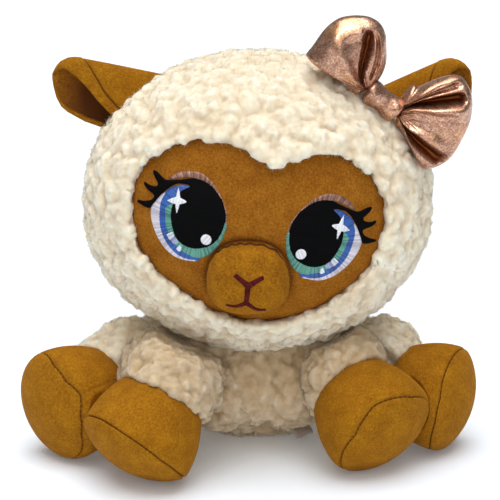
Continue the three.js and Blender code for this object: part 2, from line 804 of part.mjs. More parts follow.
// The label leaves the seam under the belly and leans forward to the floor's side.
function makeLabel() {
  const { place, outward } = torsoRoot(label.bearing, label.height, 1, 1);
  const strip = new THREE.BoxGeometry(label.width, label.length, label.thickness);
  const turn = new THREE.Quaternion().setFromUnitVectors(yAxis, outward);
  strip.translate(0, label.length / 2 - label.tuck, 0).applyQuaternion(turn);
  const solid = solidOf(strip).translate(place.x, place.y, place.z);
  return meshOf("sewn_label", solid.subtract(solidOf(torsoGeometry())), satin);
}

const sheep = new THREE.Group();
sheep.add(makeTorso());
sheep.add(makeLabel());
sheep.add(makeTail());
sheep.add(makeHead());
for (const leg of legs) sheep.add(makeLeg(leg));

export default sheep;
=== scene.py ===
import math

import bmesh
import bpy
import numpy as np
from mathutils import Matrix, Vector, geometry, noise


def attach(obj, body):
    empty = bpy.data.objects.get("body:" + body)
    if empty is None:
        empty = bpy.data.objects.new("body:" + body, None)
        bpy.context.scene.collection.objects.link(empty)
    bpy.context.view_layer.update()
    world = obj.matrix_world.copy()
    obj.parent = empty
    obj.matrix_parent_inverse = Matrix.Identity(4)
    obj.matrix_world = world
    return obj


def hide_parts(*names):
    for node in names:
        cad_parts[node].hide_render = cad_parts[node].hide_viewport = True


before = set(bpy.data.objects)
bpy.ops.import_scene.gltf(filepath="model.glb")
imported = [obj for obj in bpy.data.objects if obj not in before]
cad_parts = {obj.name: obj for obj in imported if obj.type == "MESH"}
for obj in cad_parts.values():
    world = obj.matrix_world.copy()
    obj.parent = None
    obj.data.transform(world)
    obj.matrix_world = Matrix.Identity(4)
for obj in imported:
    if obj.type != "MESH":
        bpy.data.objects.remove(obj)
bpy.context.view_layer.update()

# Torso
# The body is a bag of cream sherpa fleece, stuffed firm and sewn shut underneath, where it sits flat.
# The knitted backing carries curls of pile 5 to 6 mm across, which crowd each other, with painted shade in
# tan between them.

MM = 0.001
CURL = 6.4  # about the distance between the middles of two curls
body_face = 1.15  # across a small face of the body's skin, or of the tail's
noise.seed_set(1)  # so that the curls lie alike in each run


def tone(red, green, blue):
    """A colour as seen, 0 to 255 a channel, as the linear numbers that a shader takes."""
    return [((c / 255 + 0.055) / 1.055) ** 2.4 for c in (red, green, blue)] + [1]


def new_finish(name, **sockets):
    """A material, with sockets of its shader set by their names."""
    finish = bpy.data.materials.new(name)
    finish.use_nodes = True
    shader = finish.node_tree.nodes["Principled BSDF"]
    for socket, value in sockets.items():
        shader.inputs[socket.replace("_", " ")].default_value = value
    return finish, shader


def add(finish, kind, inputs=None, **settings):
    """A node of a material; an input is a value or another node's output."""
    node = finish.node_tree.nodes.new(kind)
    for name, value in settings.items():
        setattr(node, name, value)
    for name, value in (inputs or {}).items():
        if isinstance(value, bpy.types.NodeSocket):
            finish.node_tree.links.new(value, node.inputs[name])
        else:
            node.inputs[name].default_value = value
    return node


def ramp_of(finish, value, *stops):
    """The colour for a value, between pairs of value and colour."""
    ramp = add(finish, "ShaderNodeValToRGB", {"Fac": value})
    elements = ramp.color_ramp.elements
    while len(elements) < len(stops):
        elements.new(0.5)
    for element, (place, colour) in zip(elements, stops):
        element.position, element.color = place, colour
    return ramp.outputs["Color"]


def connect(finish, output, shader, socket):
    finish.node_tree.links.new(output, shader.inputs[socket])


def place_on(finish):
    """Places on the piece, by which a pattern stays with it."""
    return add(finish, "ShaderNodeTexCoord").outputs["Object"]


def value_of(finish, name):
    """A value that the corners of the piece carry."""
    return add(finish, "ShaderNodeAttribute", attribute_name=name).outputs["Fac"]


def mottle(finish, scale, detail, roughness=0.5, distortion=0.0):
    """Soft patches all over the piece, about as many to the metre as scale says."""
    kind = {"Scale": scale, "Detail": detail, "Roughness": roughness, "Distortion": distortion}
    return add(finish, "ShaderNodeTexNoise", {"Vector": place_on(finish), **kind}).outputs["Fac"]


def reckon(finish, operation, *values):
    return add(finish, "ShaderNodeMath", dict(enumerate(values)), operation=operation).outputs[0]


def blend(finish, share, first, second, kind="RGBA"):
    """A colour between two, or a value between two if kind is FLOAT."""
    sides = {"Factor": share, "A": first, "B": second}
    return add(finish, "ShaderNodeMix", sides, data_type=kind).outputs["Result"]


def stretch(finish, value, low, high, least, most):
    """Least where a value is low, most where it is high, and evenly between."""
    ends = {"From Min": low, "From Max": high, "To Min": least, "To Max": most}
    return add(finish, "ShaderNodeMapRange", {"Value": value, **ends}).outputs[0]


def roughen(finish, shader, height, strength, distance):
    """A relief too fine for the mesh, that only turns the light."""
    bump = add(finish, "ShaderNodeBump", {"Height": height, "Strength": strength, "Distance": distance})
    connect(finish, bump.outputs["Normal"], shader, "Normal")


def make_fleece_cloth(name, tones, behind=None):
    """Sherpa fleece: tones from the crease, painted darker as shade, to a curl's top, and others for its back
    if any.
    """
    cloth, shader = new_finish(
        name, Roughness=1.0, Sheen_Weight=0.35, Sheen_Roughness=0.6, Sheen_Tint=tone(255, 247, 232),
        Subsurface_Weight=0.65, Subsurface_Radius=(1, 0.85, 0.65), Subsurface_Scale=0.0034,
        Specular_IOR_Level=0.1,
    )
    fibres, locks = mottle(cloth, 1500, 5, 0.7, 0.6), mottle(cloth, 420, 3, 0.6)
    # The lower the pile, the darker its tone: painted shade in the creases.
    least = reckon(cloth, "MULTIPLY", locks, 0.36)
    shade = reckon(cloth, "MULTIPLY_ADD", value_of(cloth, "pile"), locks, least)
    steps = (0.15, 0.42, 0.72, 1.0)
    colour = ramp_of(cloth, shade, *zip(steps, tones))
    # With tones for its back, the first tones are painted shade on the front, fading to the back's from 12 mm
    # ahead of the piece's origin to 22 mm behind it.
    if behind:
        deep = add(cloth, "ShaderNodeSeparateXYZ", {"Vector": place_on(cloth)}).outputs["Y"]
        share = stretch(cloth, deep, -0.012, 0.022, 0, 1)
        colour = blend(cloth, share, colour, ramp_of(cloth, shade, *zip(steps, behind)))
    connect(cloth, colour, shader, "Base Color")
    roughen(cloth, shader, reckon(cloth, "ADD", fibres, locks), 0.25, 0.0006)
    return cloth


# Fleece tones from the crease to the top of a curl; the darker crease tones are painted shade.
cream = (tone(226, 206, 174), tone(241, 228, 202), tone(251, 243, 224), tone(255, 251, 244))
# A darker, warmer copy of the cream: the shade of the head painted on the body's front and the front legs.
tan = (tone(200, 170, 128), tone(211, 187, 151), tone(221, 201, 173), tone(228, 213, 190))
light_fleece = make_fleece_cloth("cream_sherpa_fleece", cream)
head_shaded_fleece = make_fleece_cloth("cream_sherpa_fleece_painted_shade", tan, cream)


def put(name, data):
    """A new object in the scene, from a mesh, a lamp or a camera."""
    thing = bpy.data.objects.new(name, data)
    bpy.context.scene.collection.objects.link(thing)
    return thing


def form_of(name, node, face, rounds, balls=()):
    """A new piece with the form of a sewn part, and of the balls of stuffing that go with it, each a middle
    and a radius in millimetres, on an even skin of small faces that is smoothed in some rounds."""
    shape = bmesh.new()
    shape.from_mesh(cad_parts[node].data)
    for middle, radius in balls:
        at = Matrix.Translation(Vector(middle) * MM)
        bmesh.ops.create_icosphere(shape, subdivisions=4, radius=radius * MM, matrix=at)
    piece = put(name, bpy.data.meshes.new(name))
    shape.to_mesh(piece.data)
    shape.free()
    skin = piece.modifiers.new("even skin", "REMESH")
    skin.mode, skin.voxel_size = "VOXEL", face * MM
    smooth = piece.modifiers.new("smooth", "SMOOTH")
    smooth.factor, smooth.iterations = 0.5, rounds
    made = bpy.data.meshes.new_from_object(piece.evaluated_get(bpy.context.evaluated_depsgraph_get()))
    piece.modifiers.clear()
    piece.data = made
    made.name = name
    return piece


def places_of(piece):
    """The corners of a piece and the ways out from it, as rows of three, in millimetres."""
    count = len(piece.data.vertices)
    places, outward = np.empty(count * 3, np.float32), np.empty(count * 3, np.float32)
    piece.data.vertices.foreach_get("co", places)
    piece.data.vertex_normals.foreach_get("vector", outward)
    return places.reshape(-1, 3).astype(float) / MM, outward.reshape(-1, 3).astype(float)


def set_places(piece, places):
    """Moves the corners of a piece to places in millimetres."""
    piece.data.vertices.foreach_set("co", (places * MM).astype(np.float32).ravel())


def set_value(mesh, name, values):
    """Gives the corners of a mesh values that its finish reads."""
    mesh.attributes.new(name, "FLOAT", "POINT").data.foreach_set("value", np.asarray(values, np.float32))


def unit(rows):
    """Rows of three as directions."""
    return rows / np.linalg.norm(rows, axis=1)[:, None]


def rounded(distances, sharpness):
    """A soft dome round the nearest of some places, 0 in the valley between it and the next ones."""
    return max(0, 1 + 2 * math.log(sum(math.exp(-sharpness * d * d) for d in distances)) / sharpness)


def curls_at(places):
    """How high the pile stands at each place, 0 in a crease and 1 on top of a curl."""
    heights = np.empty(len(places))
    for i, place in enumerate(places):
        at = Vector(place)
        bent = at + 1.6 * noise.noise_vector(at / 7) + 0.7 * noise.noise_vector(at / 3)
        large, _ = noise.voronoi(bent / CURL)
        small, _ = noise.voronoi((bent + Vector((31, 7, 13))) / (0.6 * CURL))
        curl, knob = rounded(large, 14), rounded(small, 12)
        swell, fleck = noise.noise(at / 15), noise.noise(at / 1.3)
        heights[i] = 0.5 * curl + 0.3 * knob + 0.12 + 0.25 * swell + 0.04 * fleck
    return np.clip(heights, 0, 1)


def add_pile(piece, rooted, pile, where=None):
    """Raises the curls on a piece, with pile as the most from a crease to the top of a curl. A share of it,
    rooted, stands inside the form, and where says how much of it each place has."""
    places, outward = places_of(piece)
    heights = curls_at(places)
    places += outward * ((heights - rooted) * pile * (where(places) if where else 1))[:, None]
    places[:, 2] = np.maximum(places[:, 2], 0)
    set_places(piece, places)
    # The finish reads these heights to paint shade into the creases.
    set_value(piece.data, "pile", heights)
    piece.data.shade_smooth()
    piece.data.update()


def add_fibres(piece, count, body):
    """Loose ends of the pile, as slim bent slips of mesh that stand on a piece and go with its body."""
    length, width, steep_share = 1.9, 0.15, 0.25
    draw = np.random.default_rng(1)
    places, outward = places_of(piece)
    pile = np.empty(len(places), np.float32)
    piece.data.attributes["pile"].data.foreach_get("value", pile)
    piece.data.calc_loop_triangles()
    corners = np.empty(len(piece.data.loop_triangles) * 3, np.int32)
    piece.data.loop_triangles.foreach_get("vertices", corners)
    corners = corners.reshape(-1, 3)
    a, b, c = (places[corners[:, i]] for i in range(3))
    area = np.linalg.norm(np.cross(b - a, c - a), axis=1) * (pile[corners].min(axis=1) > 0.02)
    chosen = corners[draw.choice(len(area), count, p=area / area.sum())]
    mix = draw.dirichlet((1, 1, 1), count)
    root = (places[chosen] * mix[:, :, None]).sum(1)
    out = unit((outward[chosen] * mix[:, :, None]).sum(1))
    height = (pile[chosen] * mix).sum(1)
    aside = unit(np.cross(out, draw.normal(size=(count, 3))))
    steep = draw.random(count) < steep_share
    rise = np.where(steep, draw.uniform(1.2, 2.4, count), draw.uniform(0.25, 1.1, count))
    lean = unit(aside + rise[:, None] * out)
    bend = unit(lean + 0.5 * draw.normal(size=(count, 3)) - 0.3 * out)
    across = unit(np.cross(lean, out) + 0.3 * draw.normal(size=(count, 3)))
    across *= np.sign((np.cross(across, lean) * out).sum(1))[:, None]
    long = length * draw.uniform(0.55, 1.15, count)[:, None]
    half = across * width / 2
    foot, knee = root - 0.45 * out, root + lean * long * 0.5
    tip = knee + bend * long * 0.5
    strands = np.stack([foot - half, foot + half, knee - 0.85 * half, knee + 0.85 * half, tip], axis=1)
    strands = strands.reshape(-1, 3)
    strands[:, 2] = np.maximum(strands[:, 2], 0.02)
    mesh = bpy.data.meshes.new(piece.name + "_loose_ends")
    mesh.vertices.add(5 * count)
    mesh.vertices.foreach_set("co", (strands * MM).astype(np.float32).ravel())
    mesh.loops.add(7 * count)
    slip = np.arange(count)[:, None] * 5 + (0, 1, 3, 2, 2, 3, 4)
    mesh.loops.foreach_set("vertex_index", slip.astype(np.int32).ravel())
    mesh.polygons.add(2 * count)
    starts = np.arange(count)[:, None] * 7 + (0, 4)
    mesh.polygons.foreach_set("loop_start", starts.astype(np.int32).ravel())
    mesh.update(calc_edges=True)
    mesh.shade_smooth()
    # Loose ends take the pile of their roots and grow lighter to their tips, so the painted crease shade
    # reaches them.
    set_value(mesh, "pile", np.minimum(1, height[:, None] + (0, 0, 0.12, 0.12, 0.25)).ravel())
    mesh.normals_split_custom_set_from_vertices(np.repeat(out, 5, axis=0).tolist())
    mesh.materials.append(piece.data.materials[0])
    ends = put(mesh.name, mesh)
    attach(ends, body)


def dress(piece, body, slot, finish, *nodes, fill=None):
    """Gives a piece its material, the body it moves with and the solids it stands for; fill, how full it is,
    is not used.
    """
    piece.data.materials.append(finish)
    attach(piece, body)
    if nodes:
        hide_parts(*nodes)


# Balls of stuffing in the belly and over the hips
hips = [((-17, -29, 28), 17.5), ((-1, -27.5, 32), 18.5), ((15, -28.5, 29), 17), ((-31, -24, 44), 17),
        ((31, -24, 44), 17)]
torso = form_of("torso_fleece_bag", "torso_fleece", body_face, rounds=8, balls=hips)
add_pile(torso, rooted=0.22, pile=3.9)
dress(torso, "torso", "fleece", head_shaded_fleece, "torso_fleece", fill=0.9)
add_fibres(torso, 30000, "torso")

# Tail
# A small round bag of the same fleece, stuffed more lightly than the body. Its open end is sewn into the
# seam at the back of the body, which lets it wag a little to each side.

tail = form_of("tail_fleece_bag", "tail", body_face, rounds=4)
add_pile(tail, rooted=0.35, pile=4.4)
dress(tail, "tail", "fleece", head_shaded_fleece, "tail", fill=0.6)
add_fibres(tail, 3000, "tail")

# Legs
# Four sleeves of fleece, stuffed, with the cuff's raw edge turned in over the hoof. The hooves are soft
# suede cups, each closed by a domed sole that is sewn in with a fine dark seam.

hoof_radius, hoof_back, hoof_front, hoof_tip = 25.4, -13, 12, 22.5
stitches = 58  # round the seam of a sole
turned_in = 2.2  # how far the wall and the sole turn in at the seam
wall_shares = [(0, 0.77), (0.22, 0.87), (0.5, 0.96), (0.78, 1), (1, 0.985)]
sole_shares = [(0, 0.975), (0.35, 0.86), (0.7, 0.6), (0.92, 0.3), (1, 0)]


def make_suede(name, dark, middle, light):
    """Suede with a fine grain, clouded, and dark in its seams and where the seam value paints shade."""
    suede, shader = new_finish(name, Roughness=0.92, Sheen_Weight=0.3, Sheen_Roughness=0.45,
                               Sheen_Tint=light, Specular_IOR_Level=0.15)
    clouds, grain = mottle(suede, 140, 2), mottle(suede, 1100, 3, 0.6, 0.2)
    shade = blend(suede, 0.7, clouds, grain, "FLOAT")
    colour = ramp_of(suede, shade, (0.36, dark), (0.5, middle), (0.64, light))
    # The seam value darkens real seams, and carries painted shade round the muzzle and deep in the ear's
    # hollow.
    colour = blend(suede, value_of(suede, "seam"), colour, tone(84, 42, 10))
    connect(suede, colour, shader, "Base Color")
    roughen(suede, shader, grain, 0.5, 0.0005)
    return suede


hoof_suede = make_suede("tan_suede", tone(132, 82, 3), tone(152, 98, 6), tone(174, 118, 15))


def new_piece(name, places, faces):
    """A piece from its corners, in millimetres, and its faces, with smooth shading."""
    mesh = bpy.data.meshes.new(name)
    mesh.from_pydata((np.asarray(places, float) * MM).tolist(), [], faces)
    mesh.update()
    mesh.shade_smooth()
    return put(name, mesh)


def closed_piece(name, rings, tips=None, flipped=False):
    """A piece from rings of as many points each, closed at both ends by a fan round a tip, which is the end
    ring's middle if none is given."""
    count, around = len(rings), len(rings[0])
    faces = []
    for r in range(count - 1):
        for i in range(around):
            a, b = r * around + i, r * around + (i + 1) % around
            faces.append((a, b, b + around, a + around))
    first, last = count * around, (count - 1) * around
    for i in range(around):
        j = (i + 1) % around
        faces += [(first, j, i), (first + 1, last + i, last + j)]
    if tips is None:
        tips = rings[0].mean(0), rings[-1].mean(0)
    return new_piece(name, np.vstack([*rings, tips]), [face[::-1] if flipped else face for face in faces])


def bell(gap, width):
    """1 where the gap is 0, falling away smoothly on both sides."""
    return np.exp(-((gap / width) ** 2))


def smooth_line(points, steps):
    """A smooth line through points, with as many steps between each pair."""
    points = np.asarray(points, float)
    padded = np.vstack([2 * points[0] - points[1], points, 2 * points[-1] - points[-2]])
    line = []
    for a, b, c, d in zip(padded, padded[1:], padded[2:], padded[3:]):
        for t in np.arange(steps) / steps:
            line.append(0.5 * (2 * b + (c - a) * t + (2 * a - 5 * b + 4 * c - d) * t**2
                               + (3 * b - a - 3 * c + d) * t**3))
    return np.array(line + [points[-1]])


def frame_round(direction):
    """Two ways across a direction, at right angles to it and to each other."""
    direction = direction / np.linalg.norm(direction)
    across = np.cross(direction, (0, 0, 1))
    across /= np.linalg.norm(across)
    return across, np.cross(across, direction)


def toe_of(side, out, down):
    level = math.cos(math.radians(down))
    return np.array([side * math.sin(math.radians(out)) * level, -math.cos(math.radians(out)) * level,
                     -math.sin(math.radians(down))])


hoof_line = smooth_line(
    [(hoof_back + (hoof_front - hoof_back) * a, s * hoof_radius) for a, s in wall_shares]
    + [(hoof_front + (hoof_tip - hoof_front) * a, s * hoof_radius) for a, s in sole_shares[1:]], 12)


def hoof_part(name, part, size, middle, toe, seam, side_seam):
    """The wall or the sole of a hoof. The seam between them runs round it at its own distance ahead for each
    angle, and both are drawn in there; a side seam may run back from it along the wall."""
    around = 240
    across, up = frame_round(toe)
    angles = np.arange(around) * 2 * math.pi / around
    circle = np.outer(np.cos(angles), across) + np.outer(np.sin(angles), up)
    at, ahead = np.array(seam, float).T
    ends = np.interp(np.degrees(angles), np.concatenate([at - 360, at, at + 360]), np.tile(ahead, 3))
    steps = np.linspace(0, 1, 44)
    if part == "wall":
        alongs = [hoof_back + (ends - hoof_back) * share for share in steps**0.6]
    else:
        alongs = [ends + 0.25 + (hoof_tip - ends - 0.25) * share for share in steps**1.5]
    stitch = np.sin(angles * stitches)
    rings, marks = [], []
    for along in alongs:
        radius = np.interp(along, *hoof_line.T)
        gap = np.abs(along - ends)
        draw_in = 0.8 * bell(gap, 0.45) + 0.12 * stitch * bell(gap, 2.2)
        mark = bell(gap, 0.27) * (0.72 + 0.2 * np.sign(stitch))
        if side_seam is not None and part == "wall":
            turned = (np.degrees(angles) - side_seam + 180) % 360 - 180
            strong = bell(np.radians(turned) * hoof_radius, 0.5) * np.clip((along + 6) / 8, 0, 1)
            draw_in, mark = draw_in + 0.35 * strong, np.maximum(mark, 0.22 * strong)
        rings.append(along[:, None] * toe + np.maximum(radius - draw_in, 0.01)[:, None] * circle)
        marks.append(mark)
    if part == "wall":
        rings = [0.5 * rings[0] + 0.5 * rings[0].mean(0), *rings, rings[-1] - turned_in * circle]
        marks = [0 * marks[0], *marks, marks[-1]]
    else:
        rings = [rings[0] - turned_in * circle, *rings]
        marks = [marks[0], *marks]
    rings = [ring * size + middle for ring in rings]
    piece = closed_piece(f"{name}_suede_{part}", rings, flipped=True)
    set_value(piece.data, "seam", np.concatenate([*marks, np.zeros(2)]))
    return piece


# name, side, root, hoof's middle out from the root and ahead of it and how far its lowest point is held off
# the floor, or pressed flat where that is below 0, the toe's turn out and down, and the hoof's size
legs = [
    ("front_right", -1, (-30.871, -24.862, 38), 17, 46, -0.5, 44, 49, 1),
    ("front_left", 1, (30.871, -24.862, 38), 24.5, 31, -0.5, 36, 30, 1),
    ("hind_right", -1, (-40.553, -3.681, 34), 41.5, 34, 0.8, 43, 6, 1),
    ("hind_left", 1, (40.553, -3.681, 34), 38.5, 24, 0.8, 65, 7, 0.96),
]
# How far ahead the seam of each sole lies at the angles round the hoof, and the angle of a seam on the side
seams = {
    "front_right": ([(64, 9.8), (88, 10.4), (117, 12.2), (143, 13.3), (166, 14.1), (198, 13.8), (250, 12),
                     (320, 10.5)], None),
    "front_left": ([(-31, 14.4), (18, 15.8), (40, 14.4), (54, 13.2), (60, 13), (86, 14), (105, 14.6),
                    (130, 13.8), (180, 12), (240, 11.5), (290, 12.5)], None),
    "hind_right": ([(62, 9.6), (98, 15.2), (126, 16.4), (150, 15), (173, 16.6), (202, 16.4), (229, 14.4),
                    (290, 11), (350, 9.5)], 150),
    "hind_left": ([(19, 13.8), (39, 12.7), (63, 12.3), (120, 12), (200, 11), (293, 9), (315, 10.8),
                   (349, 13.4)], 297),
}
# How far the stuffing moves a hoof sideways, with the end of its sleeve
settle = {"front_right": 0, "front_left": -7, "hind_right": 1.2, "hind_left": -1.8}
# The head's ball, under which the sleeves of the raised front legs give way
head_middle = np.array([0, -21, 115])
head_half = np.array([77.5, 61, 66.5])
head_give = 0.8  # how far a raised sleeve presses into the head's ball
front_lift = 15  # degrees by which a front leg can be raised
hoof_gap = 0.4  # left between a hind hoof and the front hoof that presses on it
sleeve_face = 1.05
hooves = {}
for name, side, root, out, ahead, off, toe_out, toe_down, size in legs:
    toe = toe_of(side, toe_out, toe_down)
    spread = math.sqrt(1 - toe[2] ** 2)
    dip = max(radius * spread - along * toe[2] for along, radius in hoof_line * size)
    middle = np.array([root[0] + side * out + settle[name], root[1] - ahead, dip + off])
    hooves[name] = side, np.array(root), middle, toe, size


def lifted(arm, degrees):
    """Turns a direction from a front leg's root as the leg lifts."""
    turn = math.radians(degrees)
    across, ahead, up = arm
    return np.array([across, ahead * math.cos(turn) + up * math.sin(turn),
                     up * math.cos(turn) - ahead * math.sin(turn)])


def give_way(places, front_name, degrees):
    """Presses places out of a front hoof that is lifted by so many degrees."""
    _, root, middle, toe, size = hooves[front_name]
    toe = lifted(toe, degrees)
    from_middle = places - root - lifted(middle - root, degrees)
    along = from_middle @ toe
    across = from_middle - np.outer(along, toe)
    radius = np.linalg.norm(across, axis=1)
    outline = hoof_line[np.argsort(hoof_line[:, 0])] * size
    room = np.interp(along, *outline.T, left=0, right=0) + hoof_gap
    pressed = radius < room
    places[pressed] += across[pressed] * (room / np.maximum(radius, 0.1) - 1)[pressed][:, None]


for name, (side, root, middle, toe, size) in hooves.items():
    body, front = name + "_leg", name.startswith("front")
    if front:
        balls = [(root - (0, 0, 1.5), 19.5), (0.62 * root + 0.38 * middle + (side * 5.5, 0, 7), 19)]
    else:
        balls = [(root, 23.5), (0.5 * root + 0.5 * middle + (0, 7, 7.5), 18.5)]
    sleeve = form_of(name + "_fleece_sleeve", name + "_sleeve", sleeve_face, rounds=12, balls=balls)
    places, _ = places_of(sleeve)
    share = np.clip(np.linalg.norm(places - root, axis=1) / np.linalg.norm(middle - root), 0, 1)
    places[:, 0] += settle[name] * share**2
    set_places(sleeve, places)
    sleeve.data.update()
    add_pile(sleeve, rooted=0.22, pile=3.5)
    if front:
        places, _ = places_of(sleeve)
        raised = root + lifted((places - root).T, front_lift).T
        share = np.linalg.norm((raised - head_middle) / (head_half - head_give), axis=1)
        pressed = head_middle + (raised - head_middle) / np.minimum(share, 1)[:, None]
        set_places(sleeve, root + lifted((pressed - root).T, -front_lift).T)
        sleeve.data.update()
    # The front sleeves, under the head, take the fleece painted with its shade; the hind ones take the plain
    # cream.
    dress(sleeve, body, "fleece", head_shaded_fleece if front else light_fleece, name + "_sleeve", fill=0.8)
    add_fibres(sleeve, 16000, body)
    for part, node in (("wall", "hoof"), ("sole", "sole")):
        piece = hoof_part(name, part, size, middle, toe, *seams[name])
        places, _ = places_of(piece)
        if not front:
            for degrees in (front_lift, 10, 5, 0):
                give_way(places, "front" + name[4:], degrees)
        places[:, 2] = np.maximum(places[:, 2], 0)
        set_places(piece, places)
        dress(piece, body, "suede", hoof_suede, f"{name}_{node}", fill=0.9)

# Head
# The head is a large ball of the same fleece, stuffed tight. An opening in front takes the suede face,
# and the fleece round it is trimmed, so that its curls overhang the edge of the suede.

head_face = 0.95
head_radius = 67  # about the mean of the ball's
full_pile, no_pile = 4, 7  # the depths inside the ball to which all of the pile, and some of it, is left


def on_skin(places):
    """1 on the outside of the ball, falling to 0 inside its opening, where the face is let in."""
    depth = (1 - np.linalg.norm((places - head_middle) / head_half, axis=1)) * head_radius
    return np.clip((no_pile - depth) / (no_pile - full_pile), 0, 1)


head_fleece = form_of("head_fleece_ball", "head_fleece", head_face, rounds=6)
add_pile(head_fleece, rooted=0.12, pile=3.5, where=on_skin)
dress(head_fleece, "head", "fleece", light_fleece, "head_fleece", fill=0.95)
add_fibres(head_fleece, 60000, "head")

# Face
# One panel of brown suede, cut with a small peak at the brow and sewn into the opening of the head. The
# stuffing rounds it as it rounds the head, and its edge is drawn down into the seam.

face_half = (55.5, 41.5)
face_drop, face_depth, face_thickness = 4.3, 4, 2.5
face_outline = [
    (0.105, 0.75), (0.38, 0.86), (0.65, 0.82), (0.85, 0.65), (0.965, 0.4), (1, 0.1), (0.93, -0.3),
    (0.74, -0.6), (0.42, -0.88), (0.04, -1), (-0.3, -0.9), (-0.64, -0.61), (-0.9, -0.27), (-1, 0.2),
    (-0.95, 0.58), (-0.74, 0.88), (-0.4, 1), (-0.1, 0.92),
]
face_suede = make_suede("brown_suede", tone(124, 70, 8), tone(146, 89, 14), tone(164, 106, 26))


def on_head(across, up, inset):
    """Places on the front of the head's ball, less an inset all round, from places across and up."""
    wide, deep, high = (half - inset for half in head_half)
    left = np.maximum(1 - (across / wide) ** 2 - (up / high) ** 2, 0)
    return np.stack([across, -deep * np.sqrt(left), up], axis=-1) + head_middle


edge = np.array(face_outline) * face_half - (0, face_drop)
edge = smooth_line(np.vstack([edge, edge[:1]]), 12)[:-1]
centre = np.array([0, -face_drop])
shares = np.concatenate([np.linspace(0, 0.9, 90)[1:], np.linspace(0.9, 1, 12)[1:]])
muzzle_half, muzzle_full, muzzle_crown = np.array([18.4, 17, 15.8]), 2.5, 1.2
muzzle_middle = head_middle + (-4, -49.2, -22)


def off_muzzle(places):
    """How far places lie outside the outline of the muzzle, across and up alone, in millimetres."""
    aside = (places - muzzle_middle)[:, ::2]
    aside[:, 1] /= np.where(aside[:, 1] > 0, muzzle_crown, 1)
    share = (np.abs(aside / (0.93 * muzzle_half[::2])) ** muzzle_full).sum(1)
    return (share ** (1 / muzzle_full) - 1) * 16


front, back, marks = [], [], []
for share in shares:
    ring = centre + (edge - centre) * share
    gap = off_muzzle(on_head(*ring.T, face_depth))
    crease = 0.9 - 1.1 * np.clip((ring[:, 1] + 22) / 12, 0, 1)
    dip = 1.6 * max(0, (share - 0.95) / 0.05) ** 2 + 1.2 * bell(gap - crease, 1.2)
    front.append(on_head(*ring.T, face_depth + dip))
    # Dark round the muzzle: partly the groove of its seam, partly painted shade where the muzzle stands off
    # the face.
    marks.append(0.9 * bell(gap - crease, 0.5))
    back.append(on_head(*ring.T, face_depth + face_thickness))
tips = on_head(*centre, face_depth), on_head(*centre, face_depth + face_thickness)
face = closed_piece("face_suede_panel", front + back[::-1], tips, flipped=True)
marks = np.concatenate(marks)
unmarked = np.zeros(len(face.data.vertices) - len(marks))
set_value(face.data, "seam", np.concatenate([marks, unmarked]))
dress(face, "head", "suede", face_suede, "face_panel", fill=0.7)

# Muzzle
# An oval of lighter suede over a firm pad of stuffing. Its edge is gathered, turned under and sewn on the
# face, low down and a little to one side, which leaves shallow puckers all round.

muzzle_suede = make_suede("light_tan_suede", tone(125, 76, 3), tone(148, 94, 6), tone(173, 115, 15))


def stuffed_ball(name, middle, half, full):
    """A stuffed form on an even skin: a cube's faces blown out to a ball, fuller where full is over 2."""
    steps = 80
    places, faces, found = [], [], {}
    grid = np.tan(np.linspace(-math.pi / 4, math.pi / 4, steps + 1))
    for axis in range(3):
        for sign in (-1, 1):
            numbers = np.empty((steps + 1, steps + 1), int)
            for i, u in enumerate(grid):
                for j, v in enumerate(grid):
                    point = [0, 0, 0]
                    point[axis], point[(axis + 1) % 3], point[(axis + 2) % 3] = sign, u, v
                    key = tuple(round(c, 5) for c in point)
                    if key not in found:
                        found[key] = len(places)
                        places.append(point)
                    numbers[i, j] = found[key]
            for i in range(steps):
                for j in range(steps):
                    face = (numbers[i, j], numbers[i + 1, j], numbers[i + 1, j + 1], numbers[i, j + 1])
                    faces.append(face if sign > 0 else face[::-1])
    places = unit(np.array(places, float))
    places /= (np.abs(places) ** full).sum(axis=1)[:, None] ** (1 / full)
    return new_piece(name, places * half + middle, faces)


muzzle = stuffed_ball("muzzle_suede_oval", muzzle_middle, muzzle_half, muzzle_full)
places, _ = places_of(muzzle)
high = places[:, 2] > muzzle_middle[2]
places[high, 2] = muzzle_middle[2] + muzzle_crown * (places[high, 2] - muzzle_middle[2])
aside = places - head_middle
gap = on_head(aside[:, 0], aside[:, 2], face_depth)[:, 1] - places[:, 1]
turn = np.arctan2(places[:, 2] - muzzle_middle[2], places[:, 0] - muzzle_middle[0])
gathers = 1 - 0.11 * bell(np.maximum(gap, -1), 2.6)
gathers += 0.014 * np.sin(23 * turn + 2 * np.sin(3 * turn)) * bell(gap - 1, 2.6)
places[:, ::2] = muzzle_middle[::2] + (places - muzzle_middle)[:, ::2] * gathers[:, None]
set_places(muzzle, places)
# Dark along the gathered edge where it meets the face: partly its seam, partly painted shade under the turned
# edge.
set_value(muzzle.data, "seam", bell(np.maximum(gap - 0.2, 0), 0.9))
muzzle.data.update()
dress(muzzle, "head", "suede", muzzle_suede, "muzzle", fill=0.85)

# Nose and mouth
# Five rows of maroon satin stitch on the muzzle, as a Y for the nose and two thin upturned lines below it.
# The rows pull the suede in a little. Each stitch lies across its row.


